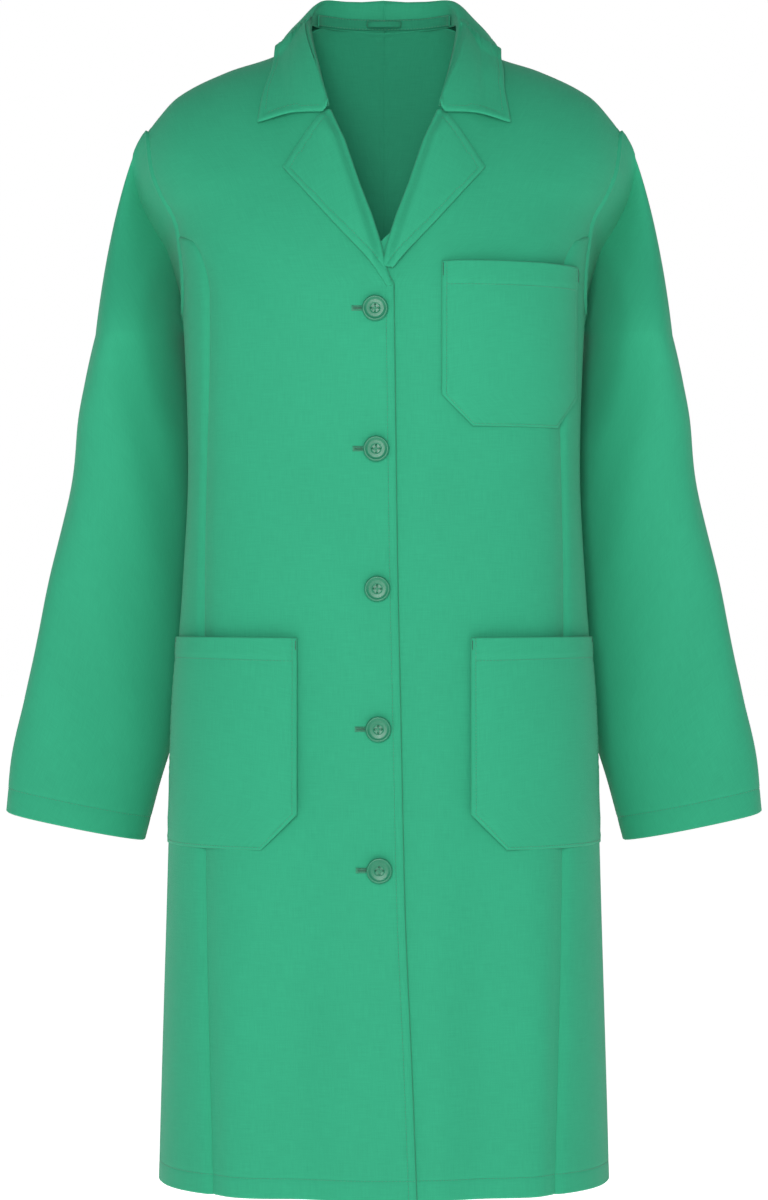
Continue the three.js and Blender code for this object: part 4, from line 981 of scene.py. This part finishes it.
def hanger_loop():
    """A narrow strip whose two ends are sewn to the tape and whose middle bows away from it."""
    _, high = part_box("hanger_loop")
    back_y = (high.y - ORIGIN[1]) * 1000 - 1.2
    angle = np.linspace(0, math.pi, 49)
    bow = np.sin(angle) ** 0.7
    x = LOOP_WIDTH / 2 * np.cos(angle)
    height = np.linspace(-0.5, 0.5, 7)
    grid = np.zeros((7, 49, 3))
    grid[..., 0] = x
    grid[..., 1] = back_y - LOOP_BOW * bow
    grid[..., 2] = LOOP_Z + LOOP_STRIP * height[:, None] - 0.8 * bow
    normals = grid_normals(grid)
    if normals[3, 24, 1] > 0:
        normals = -normals
    crown = 0.4 - 0.35 * (2 * height[:, None]) ** 4
    # The loop is drawn in the darker copy of the cloth, painted shade.
    loop = shell("hanger_loop_cloth", grid, normals, crown, -0.7, SHADED_TAPE)
    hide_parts("hanger_loop")
    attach(loop, "coat_body")
    ends = []
    for column in (3, 45):
        line = grid[1:-1, column] + normals[1:-1, column] * 0.4
        ends.append((line, normals[1:-1, column]))
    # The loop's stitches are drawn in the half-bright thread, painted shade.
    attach(stitches("hanger_loop_stitches", ends, SHADED_THREAD, 1.2, 1.0, 0.25), "coat_body")


neck_tape()
hanger_loop()

# ---------------------------------------------------------------- sleeves

RING = 120
ARMHOLE_CLEARANCE = 0.25
UNDERARM_DROP = 4.0
TUCK = (4.0, 2.6)  # how far the cap runs on beneath the panels, and how far below their surface
CUFF_Z = 303.5
SLEEVE_STATIONS = np.array(
    [  # height, gap to the torso, distance behind the side seam, half lengths of the oval, angle, tilt
        (735, -1, 28, 72, 34.6, 72, 0),
        (690, -3, 30, 67, 37.6, 60, 2),
        (640, -5.4, 32, 64, 43, 48, 4),
        (560, -6.6, 35, 67, 40, 34, 6),
        (488, -5, 38, 69.5, 37, 25, 8),
        (405, 0.8, 36, 70.5, 35, 18, 10),
        (350, 14, 34, 68, 36, 12, 12),
        (CUFF_Z, 25, 32, 64, 37, 10, 12),
    ],
    float,
)
CUFF_STITCH = 20.0


def armhole_ring():
    a = math.tau * np.arange(RING) / RING
    is_front = a <= math.pi
    t = np.where(is_front, a / math.pi, 2 - a / math.pi)
    lvl = RIDGE + (UNDERARM_Z - RIDGE) * (1 - np.cos(math.pi * t)) / 2
    turn = np.minimum(math.pi / 2, armhole_turn(lvl) + ARMHOLE_CLEARANCE / front_depth(lvl))
    place = np.where(is_front, turn, math.pi - turn)
    out = np.stack([1 + 1.4 * t, 0 * t, -0.6 * t], -1) * ARMHOLE_CLEARANCE
    out[:, 2] -= UNDERARM_DROP * t**6
    beneath = turn - TUCK[0] / front_depth(lvl)
    beneath = np.where(is_front, beneath, math.pi - beneath)
    tucked = body_point(beneath, lvl) - TUCK[1] * body_normal(beneath, lvl)
    return body_point(place, lvl) + out, tucked, a


def station_ring(row, a):
    z, inner, back, long, short, angle, tilt = row
    lean, cant = math.radians(angle), math.radians(tilt)
    reach = math.hypot(long * math.cos(lean), short * math.sin(lean))
    centre_x = half_width(z) + inner + reach * math.cos(cant)
    along_long, along_short = long * np.cos(a + lean), -short * np.sin(a + lean)
    u = along_long * math.cos(lean) - along_short * math.sin(lean)
    v = -along_long * math.sin(lean) - along_short * math.cos(lean)
    return np.stack([centre_x + u * math.cos(cant), back + v, z + u * math.sin(cant)], -1)


def sleeve_folds(a, down):
    """Drag folds below the cap, soft breaks at the elbow and long flutes down to the cuff."""
    fold = 1.7 * np.sin(2 * a + down * 9 + 0.5) * bump_at(down, 0.5, 0.22)
    fold = fold + 1.6 * np.sin(a * 3 - down * 15) * bump_at(down, 0.26, 0.1) * smooth(np.cos(a), 0.6, -0.6)
    fold = fold + 1.3 * np.cos(a * 4 + 1.2 + down * 3) * smooth(down, 0.5, 1)
    return fold + 0.5 * np.sin(a * 5 + down * 24)


def sleeve(sign):
    top, tucked, a = armhole_ring()
    hem_steps = np.array([21.5, 20, 18.5, 14, 9, 5, 2.5, 1.2, 0.5, 0])
    levels = np.concatenate([[735], np.arange(730, CUFF_Z + 24, -5.5), CUFF_Z + hem_steps])
    order = np.argsort(SLEEVE_STATIONS[:, 0])
    table = SLEEVE_STATIONS[order]
    curves = [through(np.stack([table[:, 0], table[:, k]], -1)) for k in range(1, 7)]
    lower = [station_ring([z, *(float(curve(z)) for curve in curves)], a) for z in levels]
    first = lower[0]
    upper = ((1 + np.cos(a)) / 2)[:, None]
    leave = np.array([0.95, 0, -0.42]) * 62 * upper
    leave[:, 2] -= 16
    leave[:, 1] += (first[:, 1] - top[:, 1]) * 0.6
    drop = (top[:, 2] - first[:, 2])[:, None]
    arrive = np.array([0.1, 0, -1.0]) * drop
    cap = []
    for s in np.concatenate([[0, 0.006, 0.014, 0.026, 0.045], np.linspace(0.07, 0.97, 34)]):
        h = (2 * s**3 - 3 * s**2 + 1, s**3 - 2 * s**2 + s, 3 * s**2 - 2 * s**3, s**3 - s**2)
        cap.append(top * h[0] + leave * h[1] + first * h[2] + arrive * h[3])
    grid = np.array(cap + lower)
    steps = np.linalg.norm(np.diff(grid, axis=0), axis=2)
    reach = np.concatenate([np.zeros((1, RING)), np.cumsum(steps, axis=0)])
    down = reach / reach[-1]
    from_cuff = reach[-1] - reach
    normals = grid_normals(grid, ring=True)
    if normals[60, 0, 0] < 0:
        normals = -normals
    lift = sleeve_folds(a[None, :], down) * smooth(reach, 4, 90)
    lift = lift * (0.35 + 0.65 * smooth(np.cos(a), -0.9, -0.2))[None, :]
    lift = lift + seam_relief(reach, np.broadcast_to(a * 70, reach.shape))
    lift = lift - 0.5 * bump_at(from_cuff, CUFF_STITCH, 1.1)
    thickness = ONE_LAYER + 1.2 * smooth(CUFF_STITCH + 4 - from_cuff, 0, 2)
    grid = np.concatenate([tucked[None], grid])
    normals = np.concatenate([normals[:1], normals])
    lift, thickness, from_cuff = (np.concatenate([rows[:1], rows]) for rows in (lift, thickness, from_cuff))
    side = np.array([sign, 1.0, 1.0])
    name = "left_sleeve_cloth" if sign > 0 else "right_sleeve_cloth"
    piece = shell(name, grid * side, normals * side, lift, lift - thickness, ring=True, flip=sign > 0)
    surface = (grid + normals * lift[..., None]) * side
    row = int(np.argmin(np.abs(from_cuff[:, 0] - CUFF_STITCH)))
    close = lambda values: np.vstack([values, values[:1]])
    line = close(surface[row]), close((normals * side)[row])
    return piece, [line]


def with_arm(piece):
    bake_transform(piece)


for sign, side in ((-1, "right"), (1, "left")):
    piece, lines = sleeve(sign)
    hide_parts(f"{side}_sleeve")
    with_arm(piece)
    with_arm(stitches(f"{side}_cuff_stitches", lines))

# ---------------------------------------------------------------- pockets

BAND_DEPTH = 17.0


def pocket_shares(cut):
    base = [0, 0.006, 0.014, 0.03, 0.05, 0.08, 0.12, 0.16, 0.2, cut, 0.3]
    return rows_with(base, np.linspace(0.3, 1, 44), [0.985, 0.993])


def pocket(name, corners, bulge, lean_out, node, mirror=1.0):
    """A patch pocket. corners gives its left and right edge as functions of the share upwards."""
    shares = pocket_shares(0.25)
    left, right = corners
    near, far = [0, 0.006, 0.015, 0.03, 0.05], [0.95, 0.97, 0.985, 0.994, 1]
    across = np.concatenate([near, np.linspace(0.08, 0.92, 36), far])
    first, second = left(shares), right(shares)
    flat_xz = first[:, None] + (second - first)[:, None] * across[:, None]
    u, v = across[None, :], shares[:, None]
    zeros = np.zeros(flat_xz.shape[:2])
    base, normals = on_front(flat_xz[..., 0], flat_xz[..., 1], zeros)
    edge_fall = (1 - np.abs(2 * u - 1) ** 4) * np.sin(math.pi / 2 * np.minimum(1, v * 1.4))
    lift = 1.6 + ONE_LAYER + bulge * edge_fall + lean_out * v**6 * (1 - np.abs(2 * u - 1) ** 3)
    width = np.linalg.norm(second - first, axis=1)[:, None]
    from_side = np.minimum(u, 1 - u) * width
    height = flat_xz[-1, 0, 1] - flat_xz[0, 0, 1]
    from_top = (1 - v) * height
    from_bottom = v * height
    nearest = np.minimum(from_side, from_bottom)
    run = flat_xz[..., 1] + flat_xz[..., 0]
    lift = lift + seam_relief(nearest, run, 3.0) - 0.5 * bump_at(from_top, BAND_DEPTH, 0.9)
    lift = lift + 0.5 * smooth(BAND_DEPTH - from_top, 0, 1.5)
    side = np.array([mirror, 1.0, 1.0])
    piece = shell(name, base * side, normals * side, lift, lift - ONE_LAYER, flip=mirror < 0)
    surface = (base + normals * lift[..., None]) * side
    normals = normals * side
    columns = [int(np.argmin(np.abs(across * width.mean() - d))) for d in (3.0, width.mean() - 3.0)]
    row = int(np.argmin(np.abs(shares * height - 3.0)))
    band = int(np.argmin(np.abs(from_top[:, 0] - BAND_DEPTH)))
    first_c, last_c = columns
    middle = slice(first_c, last_c + 1)
    outline, outline_n = (
        np.vstack([values[:row:-1, first_c], values[row, middle], values[row:, last_c]])
        for values in (surface, normals)
    )
    band_line = surface[band, first_c : last_c + 1], normals[band, first_c : last_c + 1]
    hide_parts(node)
    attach(piece, "coat_body")
    tacks = []
    for column in (1, -2):
        top_rows = slice(band + (len(shares) - band) // 3, len(shares) - 1)
        outward = normals[top_rows, column]
        tacks.append((surface[top_rows, column] + outward * 0.1, outward))
    return [(outline, outline_n), band_line], tacks


def slanted(x, bottom, top, cut_x, cut_z):
    """A pocket's side edge with its lower corner cut off."""

    def edge(v):
        low = v < 0.25
        z = np.where(low, v / 0.25 * cut_z, cut_z + (v - 0.25) / 0.75 * (top - bottom - cut_z))
        return np.stack([x + np.where(low, cut_x * (1 - v / 0.25), 0), bottom + z], -1)

    return edge


def wrapped(bottom, top, margin):
    """The outer edge of a lower pocket, which runs beside the side seam."""

    def edge(v):
        z = bottom + (top - bottom) * v
        return np.stack([half_width(z) * np.sin(math.pi / 2 - margin), z], -1)

    return edge


seams, tacks = [], []
for made in (
    pocket(
        "chest_pocket_cloth",
        (slanted(49, 651, 789, 26, 26), slanted(165.5, 651, 789, -18, 26)),
        5.0,
        1.0,
        "chest_pocket",
    ),
    pocket(
        "left_lower_pocket_cloth",
        (slanted(73.5, 292, 470.5, 30, 30), wrapped(292, 470.5, 0.05)),
        6.0,
        1.0,
        "left_lower_pocket",
    ),
    pocket(
        "right_lower_pocket_cloth",
        (slanted(73.5, 292, 470.5, 30, 30), wrapped(292, 470.5, 0.05)),
        6.0,
        1.0,
        "right_lower_pocket",
        -1.0,
    ),
):
    seams += made[0]
    tacks += made[1]
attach(stitches("pocket_stitches", seams), "coat_body")
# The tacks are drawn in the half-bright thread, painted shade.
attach(stitches("pocket_tacks", tacks, SHADED_THREAD, 1.1, 1.6, 0.4), "coat_body")

# ---------------------------------------------------------------- buttons and buttonholes

HOLE_FROM_CENTRE = 2.9
HOLE_R = 1.0
BUTTON_PROFILE = [
    (0, 0), (8.6, 0), (9.9, 0.25), (10.7, 0.9), (11.0, 1.6), (10.85, 2.3), (10.3, 2.8), (9.7, 3.0),
    (9.1, 2.85), (8.6, 2.45), (8.1, 2.15), (7.0, 2.0), (4.8, 1.9), (4.5, 1.85),
    (4.2, 1.6), (3.8, 1.5), (0, 1.5),
]


def lathe(profile, segments):
    """A turned solid about Y, with its front towards -Y."""
    angles = np.arange(segments) * math.tau / segments
    inner = [p for p in profile if p[0] > 0]
    vertices = [(r * math.cos(a), -y, r * math.sin(a)) for r, y in inner for a in angles]
    count = len(inner)
    faces = []
    for k in range(count - 1):
        for i in range(segments):
            j = (i + 1) % segments
            near, far = k * segments, (k + 1) * segments
            faces.append((near + i, near + j, far + j, far + i))
    faces.append(tuple(range(segments))[::-1])
    faces.append(tuple((count - 1) * segments + i for i in range(segments)))
    return vertices, faces


def cutter(x, z):
    vertices, faces = lathe([(0, -2), (HOLE_R, -2), (HOLE_R, 6), (0, 6)], 20)
    mesh = bpy.data.meshes.new("drill")
    mesh.from_pydata([(vx + x, vy, vz + z) for vx, vy, vz in vertices], [], faces)
    drill = bpy.data.objects.new("drill", mesh)
    bpy.context.scene.collection.objects.link(drill)
    return drill


def button_mesh():
    vertices, faces = lathe(BUTTON_PROFILE, 72)
    mesh = bpy.data.meshes.new("button")
    mesh.from_pydata(vertices, [], faces)
    blank = bpy.data.objects.new("blank", mesh)
    bpy.context.scene.collection.objects.link(blank)
    d = HOLE_FROM_CENTRE
    drills = [cutter(x, z) for x, z in ((d, 0), (-d, 0), (0, d), (0, -d))]
    for drill in drills:
        modifier = blank.modifiers.new("hole", "BOOLEAN")
        modifier.object = drill
        modifier.solver = "EXACT"
    bpy.context.view_layer.update()
    evaluated = blank.evaluated_get(bpy.context.evaluated_depsgraph_get())
    cut = bpy.data.meshes.new_from_object(evaluated)
    for obj in [blank, *drills]:
        bpy.data.objects.remove(obj)
    cut.transform(Matrix.Scale(0.001, 4))
    for polygon in cut.polygons:
        polygon.use_smooth = True
    cut.set_sharp_from_angle(angle=math.radians(38))
    return cut


def strand(points, radius, sides=8):
    """A thin round strand through the points, closed at both ends."""
    points = np.asarray(points, float)
    tangent = unit(np.gradient(points, axis=0))
    side = unit(np.cross(tangent, np.array([0.31, 0.87, 0.38])))
    up = np.cross(side, tangent)
    angles = np.arange(sides) * math.tau / sides
    cosines, sines = np.cos(angles), np.sin(angles)
    rings = [
        p + radius * (np.outer(cosines, s) + np.outer(sines, u))
        for p, s, u in zip(points, side, up)
    ]
    faces = []
    for k in range(len(points) - 1):
        for i in range(sides):
            j = (i + 1) % sides
            faces.append((k * sides + i, k * sides + j, (k + 1) * sides + j, (k + 1) * sides + i))
    faces.append(tuple(range(sides))[::-1])
    faces.append(tuple((len(points) - 1) * sides + i for i in range(sides)))
    return np.vstack(rings), faces


def join_strands(name, strands, material):
    vertices, faces, base = [], [], 0
    for points, quads in strands:
        vertices.append(points)
        faces += [tuple(base + i for i in face) for face in quads]
        base += len(points)
    mesh = bpy.data.meshes.new(name)
    mesh.from_pydata(to_frame(np.vstack(vertices)).tolist(), [], faces)
    return finish_object(name, mesh, material)


def thread_strands(centre):
    """Strands between opposite holes, down through them and on to the cloth."""
    d = HOLE_FROM_CENTRE
    strands = []
    for offset in (-0.32, 0.32):
        for ax, az in ((1, 0), (0, 1)):
            side = np.array([az, 0, ax]) * offset
            path = [(-d, 3.4), (-d, 0.0), (-d, -1.75), (-0.7 * d, -2.25), (0, -2.35 - 0.3 * az)]
            path += [(0.7 * d, -2.25), (d, -1.75), (d, 0.0), (d, 3.4)]
            points = [centre + side + np.array([ax * s, y, az * s]) for s, y in path]
            strands.append(strand(points, 0.34))
    shank = [centre + np.array([0, y, 0]) for y in (0.2, 1.0, 2.4, 3.6, 4.6)]
    strands.append(strand(shank, 1.0, 12))
    return strands


SLIT_INNER, SLIT_OUTER = 18.5, 3.5
SHANK_ROOM = 3.6  # the rim is left open where the button's thread passes through


def buttonhole_strands(x, z):
    """Close satin stitches round the slit, a bar at each end, and a dark strand along the slit between
    them: painted shade in the cut.
    """
    rim = []
    steps = np.arange(-SLIT_INNER, SLIT_OUTER, 0.62)
    for k in steps[np.abs(steps) > SHANK_ROOM]:
        for side in (-1, 1):
            spots = [(k, side * 0.55), (k + 0.1, side * 1.1), (k + 0.3, side * 2.1)]
            lifts = (0.15, 0.6, 0.1)
            line = [on_front(x + a, z + b, h)[0] for (a, b), h in zip(spots, lifts)]
            rim.append(strand(line, 0.27, 6))
    for end in (-SLIT_INNER - 0.5, SLIT_OUTER + 0.5):
        for shift in (-0.5, 0, 0.5):
            heights = (-2.2, -1.1, 0, 1.1, 2.2)
            line = [on_front(x + end + shift, z + b, 0.55 - 0.06 * b * b)[0] for b in heights]
            rim.append(strand(line, 0.3, 6))
    # A dark strand along the slit, painted shade in the cut.
    slit = [on_front(x + k, z, 0.1)[0] for k in np.linspace(-SLIT_INNER, SLIT_OUTER, 12)]
    return rim, strand(slit, 0.5, 8)


finished_button = button_mesh()
rims, slit_shades = [], []
for n in range(1, 6):
    low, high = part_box(f"button_{n}")
    middle = (low + high) / 2
    mesh = finished_button.copy()
    mesh.transform(Matrix.Translation((middle.x, high.y, middle.z)))
    mesh.materials.append(BUTTON)
    button = bpy.data.objects.new(f"sewn_button_{n}_disc", mesh)
    bpy.context.scene.collection.objects.link(button)
    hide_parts(f"button_{n}")
    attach(button, f"sewn_button_{n}")
    centre = (np.array([middle.x, high.y, middle.z]) - ORIGIN) * 1000
    thread = join_strands(f"sewn_button_{n}_thread", thread_strands(centre), STITCH)
    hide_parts(f"button_thread_{n}")
    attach(thread, f"sewn_button_{n}")
    rim, slit = buttonhole_strands(centre[0], centre[2])
    rims += rim
    slit_shades.append(slit)
buttonholes = join_strands("buttonhole_rims", rims, STITCH)
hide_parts(*(f"buttonhole_stitching_{n}" for n in range(1, 6)))
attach(buttonholes, "coat_body")
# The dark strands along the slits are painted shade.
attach(join_strands("buttonhole_slit_shades", slit_shades, SHADED_THREAD), "coat_body")
